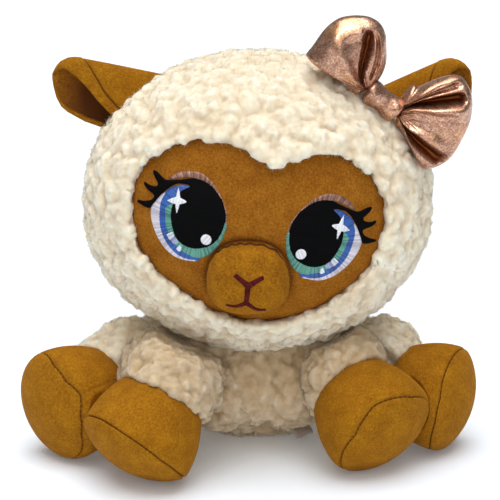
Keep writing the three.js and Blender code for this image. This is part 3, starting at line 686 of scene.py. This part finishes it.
def make_thread(name, dark, light, pitch=0.62, shine=0.5, metal=0.0, lustre=0.5):
    """Threads side by side: each has its own tone, and is painted dark as shade in the groove beside the next
    one.
    """
    thread, shader = new_finish(name, Roughness=shine, Metallic=metal, Specular_IOR_Level=lustre)
    count = reckon(thread, "MULTIPLY", value_of(thread, "thread"), 1 / pitch)
    whole, rest = reckon(thread, "FLOOR", count), reckon(thread, "FRACT", count)
    own = add(thread, "ShaderNodeTexWhiteNoise", {"W": whole}, noise_dimensions="1D").outputs["Value"]
    crown_height_and_shade, fuzz = reckon(thread, "PINGPONG", rest, 0.5), mottle(thread, 1400, 3)
    # Each thread is painted lighter on its crown and darker towards its grooves: painted light and shade.
    lit = reckon(thread, "ADD", reckon(thread, "ADD", crown_height_and_shade, own), fuzz)
    colour = ramp_of(thread, reckon(thread, "MULTIPLY", lit, 0.5), (0.3, dark), (0.9, light))
    connect(thread, colour, shader, "Base Color")
    roughen(thread, shader, reckon(thread, "ADD", crown_height_and_shade, fuzz), 0.6, 0.0003)
    return thread


def filled(outline, spacing):
    """Corners and triangles that fill an outline evenly, and how far each corner lies from its edge."""
    outline = smooth_line(np.vstack([outline, outline[:1]]), 6)[:-1]
    steps = np.linalg.norm(np.roll(outline, -1, 0) - outline, axis=1)
    ends = np.concatenate([[0], np.cumsum(steps)])
    marks = np.linspace(0, ends[-1], max(8, int(ends[-1] / spacing)) + 1)[:-1]
    closed = np.vstack([outline, outline[:1]])
    edge = np.stack([np.interp(marks, ends, closed[:, k]) for k in (0, 1)], axis=1)
    low, high = edge.min(0), edge.max(0)
    grid = np.stack(np.meshgrid(*[np.arange(low[k], high[k], spacing) for k in (0, 1)]), -1).reshape(-1, 2)
    grid[:, 0] += (np.round((grid[:, 1] - low[1]) / spacing) % 2) * spacing / 2
    a, b = edge, np.roll(edge, -1, 0)

    def from_edge(points):
        run = b - a
        t = np.clip(((points[:, None] - a) * run).sum(-1) / (run**2).sum(-1), 0, 1)
        return np.linalg.norm(points[:, None] - a - t[..., None] * run, axis=-1).min(1)

    crosses = (a[:, 1] > grid[:, None, 1]) != (b[:, 1] > grid[:, None, 1])
    rise = np.where(b[:, 1] == a[:, 1], 1e-9, b[:, 1] - a[:, 1])
    at = a[:, 0] + (grid[:, None, 1] - a[:, 1]) * (b[:, 0] - a[:, 0]) / rise
    inside = (crosses & (grid[:, None, 0] < at)).sum(1) % 2 == 1
    grid = grid[inside]
    grid = grid[from_edge(grid) > 0.45 * spacing]
    corners = [Vector(p) for p in np.vstack([edge, grid])]
    made = geometry.delaunay_2d_cdt(corners, [], [list(range(len(edge)))], 1, 1e-6)
    places = np.array([tuple(v) for v in made[0]])
    return places, [tuple(f) for f in made[2]], from_edge(places)


def embroider(name, patches, place_at, spacing=0.45):
    """One piece of embroidery from patches of outline, finish, thread direction, and how far it stands up."""
    places, faces, threads, slots, finishes = [], [], [], [], []
    for outline, finish, threads_at, low, high in patches:
        corners, triangles, inward = filled(np.array(outline, float), spacing)
        lift = low + (high - low) * np.sqrt(np.clip(inward / 0.5, 0, 1))
        start = len(places)
        places.extend(place_at(corners, lift))
        threads.extend(threads_at(corners))
        if finish not in finishes:
            finishes.append(finish)
        a, b, c = (np.array(places[start + k]) for k in triangles[0])
        turn = 1 if np.cross(b - a, c - a)[1] < 0 else -1
        faces += [tuple(start + k for k in triangle)[::turn] for triangle in triangles]
        slots += [finishes.index(finish)] * len(triangles)
    piece = new_piece(name, places, faces)
    set_value(piece.data, "thread", threads)
    for finish in finishes:
        piece.data.materials.append(finish)
    piece.data.polygons.foreach_set("material_index", slots)
    return piece


def threads_along(angle):
    """Threads that lie across a direction, given by its angle from level, which they follow each other in."""
    way = np.array([math.cos(math.radians(angle)), math.sin(math.radians(angle))])
    return lambda corners: corners @ way


def row(points, widths):
    """The outline of a row of stitches along a line, with its width at each of the line's points."""
    line = smooth_line(points, 5)
    width = np.interp(np.linspace(0, 1, len(line)), np.linspace(0, 1, len(widths)), widths)
    run = unit(np.gradient(line, axis=0))
    side = np.stack([-run[:, 1], run[:, 0]], axis=1) * width[:, None] / 2
    return np.vstack([line + side, (line - side)[::-1]])


nose_drop = 0.7


def on_muzzle(corners, lift):
    """Places on the front of the muzzle, from places across and up from the middle of the nose."""
    corners = corners - (0, nose_drop)
    rise = corners / muzzle_half[::2]
    rise[:, 1] /= np.where(rise[:, 1] > 0, muzzle_crown, 1)
    share = np.abs(rise) ** muzzle_full
    deep = muzzle_half[1] * np.maximum(1 - share.sum(1), 0) ** (1 / muzzle_full) + lift
    return np.stack([corners[:, 0], -deep, corners[:, 1]], axis=1) + muzzle_middle


maroon = make_thread("maroon_thread", tone(52, 8, 8), tone(98, 22, 20), lustre=0.08)
nose_rows = [
    ([(-5.7, 5.7), (-3.3, 3.6), (-0.2, 1.2)], (1.9, 2.4, 2.7), -40),
    ([(6.6, 4.5), (3.6, 3.0), (0.2, 1.0)], (1.9, 2.4, 2.7), 30),
    ([(0.1, 2.1), (-0.4, -2.3), (-0.9, -7.4)], (2.8, 2.4, 2.2), 88),
    ([(-9.6, -8.3), (-5.2, -8.7), (-0.8, -6.9)], (1.2, 1.8, 2.3), 5),
    ([(7.6, -11), (3.4, -10.2), (-0.9, -6.9)], (1.2, 1.8, 2.3), -20),
]
nose = embroider("nose_and_mouth_stitches", [
    (row(points, widths), maroon, threads_along(angle), -0.2, 0.55 + 0.06 * i)
    for i, (points, widths, angle) in enumerate(nose_rows)
], on_muzzle, spacing=0.3)
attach(nose, "head")
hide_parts("nose_mouth_stitching")

# Eyes
# Machine embroidery in satin stitch on the suede: a white ground, then blue, green and black thread over
# each other, a rosy metallic lid, and a sparkle and a dot on top. Black lashes fan from the outer corner.

white_thread = make_thread("white_thread", tone(176, 168, 180), tone(232, 226, 234), shine=0.4)
bright_thread = make_thread("bright_white_thread", tone(216, 214, 222), tone(250, 250, 252), shine=0.4)
blue_thread = make_thread("blue_thread", tone(8, 44, 112), tone(34, 102, 190), shine=0.35)
green_thread = make_thread("green_thread", tone(36, 96, 98), tone(104, 178, 150), shine=0.35)
black_thread = make_thread("black_thread", tone(1, 1, 1), tone(6, 6, 8), shine=0.7, lustre=0.05)
lid_thread = make_thread("rose_metal_thread", tone(66, 38, 27), tone(172, 126, 106), shine=0.35, metal=0.4,
                         pitch=0.45)
silver_thread = make_thread("silver_thread", tone(178, 178, 196), tone(244, 246, 252), shine=0.3)
lilac_thread = make_thread("lilac_thread", tone(120, 124, 170), tone(196, 200, 226), shine=0.3)
eye_roll = math.radians(10)
eye_middles = {"right": (-1, (-25.05, 6.38)), "left": (1, (25.05, -1.7))}

# Outlines in millimetres, outward and up from the middle of the pupil
white_ground = [
    (14.5, 6.3), (16.6, 4.3), (18.6, 1.3), (20.3, -1.8), (20.3, -5.2), (19.2, -8.8), (17.2, -12.7),
    (14.7, -16.1), (11.5, -19.2), (7.8, -21.3), (4.3, -22.1), (0.2, -21.8), (-2.6, -20.8), (-1.1, -16.1),
    (10, -2.1),
]
blue_ring = [
    (5.4, 10.5), (8.3, 10.3), (10.9, 9.3), (12.9, 8), (14.7, 6.4), (16.2, 3.6), (16.9, 0.6), (16.8, -3.3),
    (16.2, -7.2), (14.8, -11.6), (12.6, -15.1), (9.8, -18.1), (6.4, -20.3), (2.6, -21.3), (-1, -21.1),
    (-3.8, -19.6), (-0.1, -10.6), (5.7, 4.5),
]
green_ring = [
    (11.9, 1.8), (14.4, -0.9), (14.1, -4.4), (13.4, -7.5), (12, -10.8), (10.1, -13.7), (7.6, -16.2),
    (4.6, -18.1), (1.7, -19.1), (-1.6, -19.7), (-4.8, -18.8), (-7.6, -16.5), (-10, -13), (-11.5, -9.3),
    (-12.2, -5.5), (-12.2, -1.6), (-5.6, 1.9), (5.7, 4.5),
]
pupil = [
    (5.4, 10.4), (8, 8.6), (10.1, 6.1), (11.3, 3), (11.9, 0.1), (11.9, -3.1), (11.2, -6.3), (9.8, -9.8),
    (8, -12.8), (5.7, -14.7), (2.8, -15.7), (-0.5, -15.8), (-3.6, -14.9), (-6.6, -13.3), (-9.3, -10.3),
    (-10.9, -6.9), (-11.7, -2.8), (-11.5, 1), (-10.4, 5.1), (-8.5, 8.4), (-5.8, 11.2), (-3.1, 13.2),
    (-0.2, 14.1), (2.5, 14.3), (5.2, 13.8), (8.2, 12.7), (11.3, 11.5), (12.2, 10.1), (10, 10.4),
    (6.8, 10.8),
]
lid = [
    (15.8, 10.3), (14.4, 12), (12.8, 13.7), (10.9, 15.1), (7.8, 16.3), (4.6, 16.9), (1.9, 16.9),
    (-0.4, 16.1), (-3.4, 14.3), (-6, 11.8), (-8.4, 9), (-10.2, 6.1), (-11.7, 3.1), (-12.5, -0.4),
    (-12.4, -3.6), (-11.6, -3.4), (-11.6, 0), (-10.8, 3.1), (-8.6, 7.1), (-4.9, 10.9), (-0.4, 13.3),
    (3.2, 13.8), (6.5, 13.6), (11.2, 12), (13.4, 11),
]
lashes = [
    (10.8, 11.9), (13.4, 10.9), (16.1, 10.4), (17.8, 11), (20, 12.2), (21.6, 12.6), (22.2, 12),
    (21.5, 10.4), (20.2, 8.9), (19.2, 7.7), (19.8, 6.5), (21.7, 6.1), (23.7, 6.4), (25, 6.8), (25.3, 6),
    (24.6, 4.9), (23, 3.8), (21.2, 3.1), (20, 2.2), (20.7, 0.5), (22.5, -0.6), (24.6, -1.3),
    (26.5, -1.7), (26.9, -2.4), (26, -2.9), (23.7, -3.5), (21.7, -3.7), (20.5, -3.1), (19.8, -1.7),
    (18.3, 1.3), (16.6, 4.2), (14.6, 6.8), (12.5, 8.9), (10.5, 10.4),
]
sparkle_up = [
    (10.3, 8.7), (8.9, 5.8), (8.4, 3.5), (8.5, 1.1), (9.1, -2.6), (10.3, 0.6), (10.7, 3), (10.6, 5.4),
]
sparkle_across = [
    (14.1, 2.2), (12.1, 3.8), (9.8, 4.8), (7.6, 4.6), (5.7, 3.8), (7.8, 2.3), (9.8, 1.6), (12, 1.6),
]
dot = [(-5 + 2.5 * math.cos(a), -10.2 + 2.5 * math.sin(a)) for a in np.arange(12) * math.pi / 6]
glint_high = [(11.9, -12.5), (9.8, -10.3), (8.4, -12.3), (10, -14.5)]
glint_middle = [(10.5, -13.8), (8.4, -12.3), (6.3, -14.3), (8, -15.8)]
glint_low = [(6.8, -17.7), (5.6, -15.3), (4.4, -17), (5.3, -18.6)]


def threads_round(corners):
    """Threads that point at a place 3 mm under the pupil's middle, counted along a circle of 16 mm."""
    return 16 * np.arctan2(corners[:, 1] + 3, corners[:, 0] + 0.01)


for name, (side, middle) in eye_middles.items():

    def on_face(corners, lift):
        across, up = side * corners[:, 0], corners[:, 1]
        x = middle[0] + across * math.cos(eye_roll) + up * math.sin(eye_roll)
        z = middle[1] - across * math.sin(eye_roll) + up * math.cos(eye_roll)
        return on_head(x, z, face_depth - lift)

    level, upright = threads_along(90), threads_along(0)
    eye = embroider(f"{name}_eye_stitches", [
        (white_ground, white_thread, threads_round, -0.1, 0.3),
        (blue_ring, blue_thread, threads_round, 0.1, 0.42),
        (green_ring, green_thread, threads_round, 0.2, 0.54),
        (lid, lid_thread, threads_round, -0.1, 0.55),
        (pupil, black_thread, level, 0.3, 0.68),
        (glint_high, silver_thread, threads_round, 0.45, 0.66),
        (glint_middle, lilac_thread, threads_round, 0.45, 0.62),
        (glint_low, silver_thread, threads_round, 0.45, 0.66),
        (sparkle_up, bright_thread, level, 0.5, 0.95),
        (sparkle_across, bright_thread, upright, 0.6, 1.1),
        (dot, bright_thread, threads_along(30), 0.5, 1.0),
    ], on_face)
    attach(eye, "head")
    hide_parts(f"{name}_eye")
    lash_patch = (lashes, black_thread, threads_along(60), -0.1, 0.85)
    lash = embroider(f"{name}_lash_stitches", [lash_patch], on_face)
    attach(lash, "head")
    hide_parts(f"{name}_lashes")

# Label
# A small tag of bare satin ribbon, folded into the seam under the belly and sewn. Its free end hangs down
# towards the floor and curls a little.

label_cloth, label_shader = new_finish(
    "bare_satin", Base_Color=tone(196, 180, 172), Roughness=0.55, Sheen_Weight=0.2, Sheen_Roughness=0.4,
)
roughen(label_cloth, label_shader, mottle(label_cloth, 2600, 2), 0.4, 0.0002)

label_width, label_length, label_bearing = 10, 14, math.radians(38)
label_out = np.array([math.sin(label_bearing), -math.cos(label_bearing), 0])
label_across = np.array([label_out[1], -label_out[0], 0])
label_solid = np.array([v.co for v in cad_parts["sewn_label"].data.vertices]) / MM
label_root = label_solid.mean(0)
label_root = label_root + label_out * ((label_solid - label_root) @ label_out).min()
label_rows, label_columns = 15, 9
label_reach, label_sewn_in, label_aside = 12, 4.5, 1.5
label_fall, label_rise, label_curl = 4.6, 1.2, 0.6
label_grid = []
for share in np.linspace(0, 1, label_rows):
    for across in np.linspace(-0.5, 0.5, label_columns):
        along = label_reach * math.sin(share * math.pi / 2) - label_sewn_in
        fall = label_fall * share**2.3 - label_curl * math.sin(across * 5 + share * 3) * share
        sideways = across * label_width - label_aside
        label_grid.append(label_root + along * 0.9 * label_out + sideways * label_across
                          - (0, 0, fall - label_rise))
label_faces = []
for row_start in range(0, (label_rows - 1) * label_columns, label_columns):
    for a in range(row_start, row_start + label_columns - 1):
        label_faces.append((a, a + 1, a + 1 + label_columns, a + label_columns))
label_tag = new_piece("label_ribbon", label_grid, label_faces)
ribbon_edge = label_tag.modifiers.new("cloth", "SOLIDIFY")
ribbon_edge.thickness = 0.3 * MM
ribbon_edge.offset = 0
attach(label_tag, "torso")
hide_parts("sewn_label")
label_tag.data.materials.append(label_cloth)

# Bow
# Two loops and a knot of rose gold coated cloth with a fine grain. Each loop is a folded band, gathered at
# its root, so that its folds fan out from the knot, which is a shorter band wrapped round both roots.

bow_middle, bow_turn = head_middle + (54.05, -21.9, 49.25), math.radians(-38)
bow_along = np.array([math.cos(bow_turn), 0, math.sin(bow_turn)])
loop_out, loop_thickness, loop_gap = 8.2, 9.4, 0.4
knot_half, knot_radius, knot_gap = 8.7, 5.6, 0.3
# The rim of each loop as pairs of the angle up from level and the reach from the root. Each fold has its
# depth and half width in degrees, and then its line as pairs of the share of the reach and the angle.
upper_rim = [
    (38, 4), (47, 8.5), (56, 13.5), (67, 19.8), (73.6, 25.3), (81, 29.2), (89.7, 31.4), (97.5, 32.3),
    (105, 33), (112.6, 33.4), (121, 32.8), (128.4, 31.9), (136, 31), (142.2, 30.6), (148, 30.8),
    (151.5, 30.6), (154.5, 27), (156.8, 22), (160, 16.2), (168, 11.5), (184, 8), (206, 6),
]
upper_folds = [
    (6.5, 4.2, [(0.05, 140), (0.12, 128), (0.3, 106), (0.45, 97), (0.6, 92), (0.75, 90), (0.86, 89)]),
    (2.6, 13, [(0.15, 122), (0.35, 112), (0.55, 104), (0.78, 97)]),
    (2.6, 2.4, [(0.15, 84), (0.3, 78), (0.5, 76), (0.7, 78.5), (0.88, 84)]),
    (1, 2, [(0.3, 70), (0.55, 71), (0.75, 75)]),
    (-1.5, 9, [(0.15, 146), (0.5, 130), (0.95, 122)]),
]
lower_rim = [
    (-100, 5), (-84, 7), (-76, 9), (-70, 14.4), (-67.5, 22.3), (-66, 26.7), (-63.5, 28.1), (-60, 28.9),
    (-52, 30), (-42, 30.8), (-33, 30.8), (-24, 30.7), (-16, 31.1), (-8, 31.8), (0, 32.3), (6.5, 32.7),
    (14.4, 32.9), (23, 32.4), (28, 31.9), (31.5, 31), (34.5, 29), (37, 26.5), (43.8, 19.5), (49, 15.4),
    (53, 14), (57, 14.2), (61, 13.8), (66, 12), (72, 9), (82, 5),
]
lower_folds = [
    (8, 4.6, [(0.06, 48), (0.15, 40), (0.3, 28), (0.46, 21), (0.65, 17.5), (0.8, 15.5), (0.93, 14.5)]),
    (3.4, 3.4, [(0.12, 62), (0.3, 44), (0.5, 34), (0.75, 28), (0.96, 25)]),
    (1.4, 1.6, [(0.2, 64), (0.4, 47), (0.65, 37), (0.85, 33.5)]),
    (7, 5.5, [(0.06, -92), (0.15, -78), (0.4, -57), (0.68, -50.5), (0.85, -48.5), (0.97, -47.5)]),
    (1.6, 10, [(0.1, -42), (0.35, -26), (0.6, -22), (0.9, -24)]),
    (-3, 4.6, [(0.06, 34), (0.3, 15), (0.5, 8), (0.8, 4), (0.97, 3)]),
]


def make_bow_cloth():
    """Metal coated cloth, clouded and grained, with warm painted reflections here and there and brown painted
    shade in its folds.
    """
    cloth, shader = new_finish("rose_gold_cloth", Metallic=0.88, Roughness=0.3, Specular_IOR_Level=0.5)
    grain = add(cloth, "ShaderNodeTexVoronoi", {"Vector": place_on(cloth), "Scale": 1500},
                feature="SMOOTH_F1").outputs["Distance"]
    clouds = mottle(cloth, 300, 4, 0.6)
    colour = ramp_of(cloth, blend(cloth, 0.5, clouds, grain, "FLOAT"), (0.3, tone(144, 102, 84)),
                     (0.5, tone(190, 145, 121)), (0.7, tone(236, 198, 170)))
    # Warm patches at random: painted reflection of the suede and fleece.
    warm_reflection = stretch(cloth, mottle(cloth, 55, 1), 0.42, 0.66, 0, 0.4)
    colour = blend(cloth, warm_reflection, colour, tone(226, 166, 108))
    # Brown as the inside value says: painted shade in the folds.
    colour = blend(cloth, value_of(cloth, "inside"), colour, tone(112, 58, 18))
    connect(cloth, colour, shader, "Base Color")
    connect(cloth, stretch(cloth, clouds, 0.35, 0.65, 0.24, 0.34), shader, "Roughness")
    roughen(cloth, shader, reckon(cloth, "ADD", grain, clouds), 0.25, 0.0003)
    return cloth


bow_cloth = make_bow_cloth()


def off_head(places, gap):
    """Moves what would lie in the head's ball out to a gap over it."""
    share = np.linalg.norm((places - head_middle) / (head_half + gap), axis=1)
    inside = share < 1
    places[inside] = head_middle + (places[inside] - head_middle) / share[inside][:, None]
    return places


def gathered_loop(name, root, rim, folds):
    """A folded band, gathered at its root: rings of points round it, from the root to the rim."""
    rim = smooth_line(rim, 6)
    rim_angles, reaches = rim.T
    low, high = rim_angles[0], rim_angles[-1]
    rings, around = 72, 460
    turn = np.arange(around) * 2 * math.pi / around
    angles = low + (high - low) * (0.5 - 0.5 * np.cos(turn) * (0.6 + 0.4 * np.abs(np.cos(turn))))
    reach = np.interp(angles, rim_angles, reaches)
    bearing = np.radians(angles)
    full = np.clip(reach / 20, 0.45, 1)
    places, fold_shades = [], []
    for share in np.linspace(0.04, 1, rings) ** 0.9:
        puff = 0.4 + 0.6 * math.sin(min(1, share / 0.6) * math.pi / 2)
        close = math.sqrt(max(0, 1 - max(0, (share - 0.5) / 0.5) ** 2.6))
        half = loop_thickness * puff * close * full * np.abs(np.sin(turn)) ** 0.7
        dent, deepest = np.zeros(around), np.zeros(around)
        for depth, spread, line in folds:
            at, centres = np.array(line).T
            centre = np.interp(share, at, centres)
            length = np.clip((share - at[0]) / 0.1 + 0.3, 0, 1) * np.clip((at[-1] - share) / 0.1, 0, 1)
            width = spread * (1 + 0.9 * (1 - share) ** 1.5)
            fold = depth * length * np.exp(-(np.abs((angles - centre) / width) ** 2.4))
            dent, deepest = dent + fold, np.maximum(deepest, fold)
        pucker = np.array([noise.noise(Vector((a / 6, share, root[0]))) for a in angles])
        pucker *= 1.2 * max(0, 1 - share / 0.4) ** 1.2
        most = 1.15 * half + 0.05
        dent = np.where(dent > 0, most * np.tanh(dent / most), dent)
        back = -half * (0.8 + 0.1 * np.cos(np.radians(angles * 7)))
        front = half - dent + pucker * np.minimum(1, half)
        depth = np.where(np.sin(turn) > 0, front, back)
        flat = share * reach
        # The deeper a fold on the front, the more brown is painted into it as shade.
        fold_shades.append(np.where(np.sin(turn) > 0, np.clip(deepest / 4.5 - 0.35, 0, 1), 0))
        places.append(root + np.stack([flat * np.cos(bearing), -depth, flat * np.sin(bearing)], axis=1))
    tips = off_head(np.array([root, places[-1].mean(0)]), loop_gap)
    loop = closed_piece(name, [off_head(ring, loop_gap) for ring in places], tips)
    set_value(loop.data, "inside", np.concatenate([*fold_shades, np.zeros(2)]))
    return loop


for node, sign, rim, folds in (("bow_upper_loop", -1, upper_rim, upper_folds),
                               ("bow_lower_loop", 1, lower_rim, lower_folds)):
    piece = gathered_loop(node + "_band", bow_middle + sign * loop_out * bow_along, rim, folds)
    dress(piece, "head", "bow_cloth", bow_cloth, node, fill=0.4)

knot_up, knot_back = np.cross(bow_along, (0, 1, 0)) * 0.94, np.array([0, 1.08, 0])
knot_turns = np.arange(120) * 2 * math.pi / 120
knot_rings = []
for share in np.linspace(-1, 1, 48):
    radius = knot_radius * (1 - 0.08 * math.cos(share * math.pi * 1.5) - 0.3 * max(0, abs(share) - 0.9) / 0.1)
    ring = []
    for turn in knot_turns:
        crease = 0.16 * math.sin(8 * share + 2 * math.sin(turn * 2)) * (0.4 + 0.6 * math.cos(turn) ** 2)
        crease += 0.2 * noise.noise(Vector((share * 3, math.cos(turn) * 2, math.sin(turn) * 2)))
        along = bow_along * share * (knot_half + 0.7 * math.sin(turn))
        out = math.sin(turn) * knot_up - math.cos(turn) * knot_back
        ring.append(bow_middle + along + (radius + crease) * out)
    knot_rings.append(np.array(ring))
tips = off_head(np.array([knot_rings[0].mean(0), knot_rings[-1].mean(0)]), knot_gap)
knot = closed_piece("bow_knot_band", [off_head(ring, knot_gap) for ring in knot_rings], tips)
dress(knot, "head", "bow_cloth", bow_cloth, "bow_knot", fill=0.4)

# Ears
# Each ear is a layer of hoof suede, folded over at the top so that it comes down in front as a flap, with
# its edge turned as a broad hem. Brown suede lines the hollow. The root is sewn into the head.

ear_end = 37.5
# Pairs of the distance out along the ear and, in turn, its top, its bottom, the flap's edge, the depth and
# the width of the hem
ear_top = [
    (-16, 12.6), (0, 12.8), (14, 12.9), (25, 12.9), (29, 12.5), (31.8, 11.6), (34.7, 9.4), (36.3, 6.9),
    (37.2, 4.6), (ear_end, 3.2),
]
ear_bottom = [
    (-16, -17), (0, -17), (10, -16.6), (19.6, -15.1), (27.8, -12.4), (31, -10.5), (33.9, -6.8), (36, -2.2),
    (37.1, 1.2), (ear_end, 3.2),
]
ear_edge = [
    (-16, -16), (0, -14), (5, -11.4), (9, -8.6), (15.2, -3.8), (19.1, -0.2), (23, 2.9), (26.7, 5.3),
    (30, 7.2), (33, 7.8), (35.5, 6), (ear_end, 3.2),
]
ear_depth = [
    (-16, 4.6), (0, 4.8), (5, 5.6), (11, 6.1), (19, 6), (24, 5.5), (29, 4.7), (33, 3.5), (36, 1.9),
    (ear_end, 0.6),
]
ear_hem = [(0, 4.4), (9, 4.9), (13.4, 5.2), (16.7, 6.1), (20, 7.1), (24.5, 8.8), (28, 12)]


def read_off(out, *tables):
    """What tables of pairs say at distances out along the ear."""
    return [np.interp(out, *np.array(table).T) for table in tables]


def ear_at(out, angle, inset=0):
    """A place on the ear's folded layer: out along it, across its depth, and up."""
    top, bottom, depth = read_off(out, ear_top, ear_bottom, ear_depth)
    half = np.maximum((top - bottom) / 2 - inset, 0.02)
    deep = np.maximum(depth - inset, 0.02)
    return np.stack([out, deep * np.cos(angle), (top + bottom) / 2 + half * np.sin(angle)], axis=-1)


def ear_sweep(out, trim):
    """The angles at the lower edge and at the flap's edge, each drawn back by a trim."""
    top, bottom, edge = read_off(out, ear_top, ear_bottom, ear_edge)
    half = np.maximum((top - bottom) / 2, 0.1)
    flap = math.pi - np.arcsin(np.clip((edge - (top + bottom) / 2) / half, -0.99, 0.99))
    back = trim / np.maximum(1, (top - bottom) / 2)
    return np.radians(-100) + back, flap - back


def ear_root(angle, to_world, clear):
    """How far out along the ear each line of it comes clear of the head."""
    root, step = np.full(len(angle), -14.0), 24.0
    for _ in range(12):
        step /= 2
        ahead = to_world(ear_at(root + step, angle)) - head_middle
        root = np.where(np.linalg.norm(ahead / (head_half + clear), axis=1) < 1, root + step, root)
    return root


def ear_layer(name, to_world, outer, thick, stop, trim, hem, clear):
    """A layer of the ear, from the inset of its outside, its thickness, how far out it stops, the trim of its
    free edges, one hem or none, and how far its root is clear of the head."""
    rings, across = 90, 150
    shares = np.linspace(0, 1, across)
    places, marks = [], []
    for t in np.sin(np.linspace(0, 1, rings) * math.pi / 2):
        out = np.full(across, stop * t)
        for _ in range(6):
            start, end = ear_sweep(out, trim)
            angle = start + (end - start) * shares
            root = ear_root(angle, to_world, clear)
            out = root + (stop - root) * t
        line = ear_at(out, angle)
        walk = np.concatenate([[0], np.cumsum(np.linalg.norm(np.diff(line, axis=0), axis=1))])
        from_low, from_flap = walk, walk[-1] - walk
        nearest = np.minimum(from_low, from_flap)
        tip = math.sqrt(max(0.0004, 1 - max(0, 1 - (1 - t) * ear_end / 1.6) ** 2))
        half = thick / 2 * np.sqrt(1 - (1 - np.minimum(1, nearest / (0.7 * thick))) ** 2) * tip
        past_hem = from_flap - read_off(out, ear_hem)[0]
        raised = hem * 0.35 * np.clip(-past_hem / 0.8, 0, 1)
        groove = hem * 0.8 * bell(past_hem, 0.42)
        roll = hem * 0.9 * np.sin(np.clip(nearest / 3.4, 0, 1) * math.pi) ** 2
        outside = ear_at(out, angle, outer + thick / 2 - half - raised * tip + groove * tip)
        inside = ear_at(out, angle, outer + thick / 2 + half + roll * tip)
        places.append(to_world(np.vstack([outside, inside[::-1]])))
        # The lining darkens towards the root and away from its lower edge: painted shade in the hollow.
        hollow = (1 - hem) * np.clip((stop - out) / 18 - 0.1, 0, 1) * np.clip(from_low / 7, 0, 1)
        marks.append(np.concatenate([hem * tip * bell(past_hem, 0.4), hollow]))
    piece = closed_piece(name, places)
    set_value(piece.data, "seam", np.concatenate([*marks, np.zeros(2)]))
    return piece


lining_suede = make_suede("lining_suede", tone(114, 66, 6), tone(136, 82, 11), tone(156, 100, 20))
for side, sign, tilt, pivot in (("right", -1, 11, (-55.561, -15.998, 161.039)),
                                ("left", 1, 24, (61.686, -15.998, 154.886))):
    lean = math.radians(tilt)

    def to_head(places):
        out, deep, up = places.T
        return pivot + np.stack([sign * (out * math.cos(lean) - up * math.sin(lean)), deep,
                                 out * math.sin(lean) + up * math.cos(lean)], axis=-1)

    outer = ear_layer(f"{side}_ear_suede", to_head, outer=0, thick=1.7, stop=ear_end, trim=0, hem=1,
                      clear=0.7)
    inner = ear_layer(f"{side}_ear_lining_cloth", to_head, outer=1.9, thick=0.8, stop=ear_end - 1.2,
                      trim=0.35, hem=0, clear=8.5)
    if sign > 0:
        for layer in (outer, inner):
            layer.data.flip_normals()
    dress(outer, f"{side}_ear", "suede", hoof_suede, f"{side}_ear_outer")
    dress(inner, f"{side}_ear", "ear_lining", lining_suede, f"{side}_ear_lining")

# Studio
# The sheep sits on a white floor with nothing behind it. The light is soft, from above and from in front,
# and a narrower lamp lights nothing but the sheen and the glints, most of all those on the bow.

scene = bpy.context.scene
scene.view_settings.view_transform = "Standard"
camera_data = bpy.data.cameras.new("camera")
camera_data.lens, camera_data.sensor_width = 144, 36
camera_data.clip_start, camera_data.clip_end = 0.05, 20
camera = put("camera", camera_data)
camera.location = (0, -0.8979, 0.3175)
look_down, look_left = 14.432, 0.229
camera.rotation_euler = (math.radians(90 - look_down), 0, math.radians(look_left))
scene.camera = camera

floor_finish, _ = new_finish("white_floor", Base_Color=(0.87, 0.93, 1.0, 1), Roughness=0.9,
                             Emission_Color=(1, 1, 1, 1), Emission_Strength=0.1)
floor_sheet = bpy.data.meshes.new("floor")
floor_sheet.from_pydata([(-6, -6, 0), (6, -6, 0), (6, 6, 0), (-6, 6, 0)], [], [(0, 1, 2, 3)])
floor_sheet.materials.append(floor_finish)
floor = put("floor", floor_sheet)

white = (1, 1, 1, 1)
room = bpy.data.worlds.new("room")
room.use_nodes = True
walls = room.node_tree.nodes["Background"]
walls.inputs["Color"].default_value, walls.inputs["Strength"].default_value = white, 0.05
backdrop = add(room, "ShaderNodeBackground", {"Color": white})
panels = add(room, "ShaderNodeBackground", {"Strength": 0.3})
ray = add(room, "ShaderNodeLightPath").outputs
seen = add(room, "ShaderNodeMixShader",
           {"Fac": ray["Is Camera Ray"], 1: walls.outputs[0], 2: backdrop.outputs[0]})
mirrored = add(room, "ShaderNodeMixShader",
               {"Fac": ray["Is Glossy Ray"], 1: seen.outputs[0], 2: panels.outputs[0]})
connect(room, mirrored.outputs[0], room.node_tree.nodes["World Output"], "Surface")
scene.world = room


def soft_light(name, place, strength, spread):
    """Light from a wide soft source in the direction of place, as even over the floor as over the toy."""
    lamp = bpy.data.lights.new(name, "SUN")
    lamp.energy, lamp.angle = strength, math.radians(spread)
    holder = put(name, lamp)
    holder.rotation_euler = Vector(place).to_track_quat("Z", "Y").to_euler()
    return holder


soft_light("overhead", (-0.03, -0.02, 1.0), strength=2.9, spread=60)
soft_light("front", (0.0, -1.0, 0.9), strength=1.15, spread=64)
glints = soft_light("glints on the bow", (-0.15, -0.7, 1.0), strength=1.2, spread=20)
glints.visible_diffuse = False
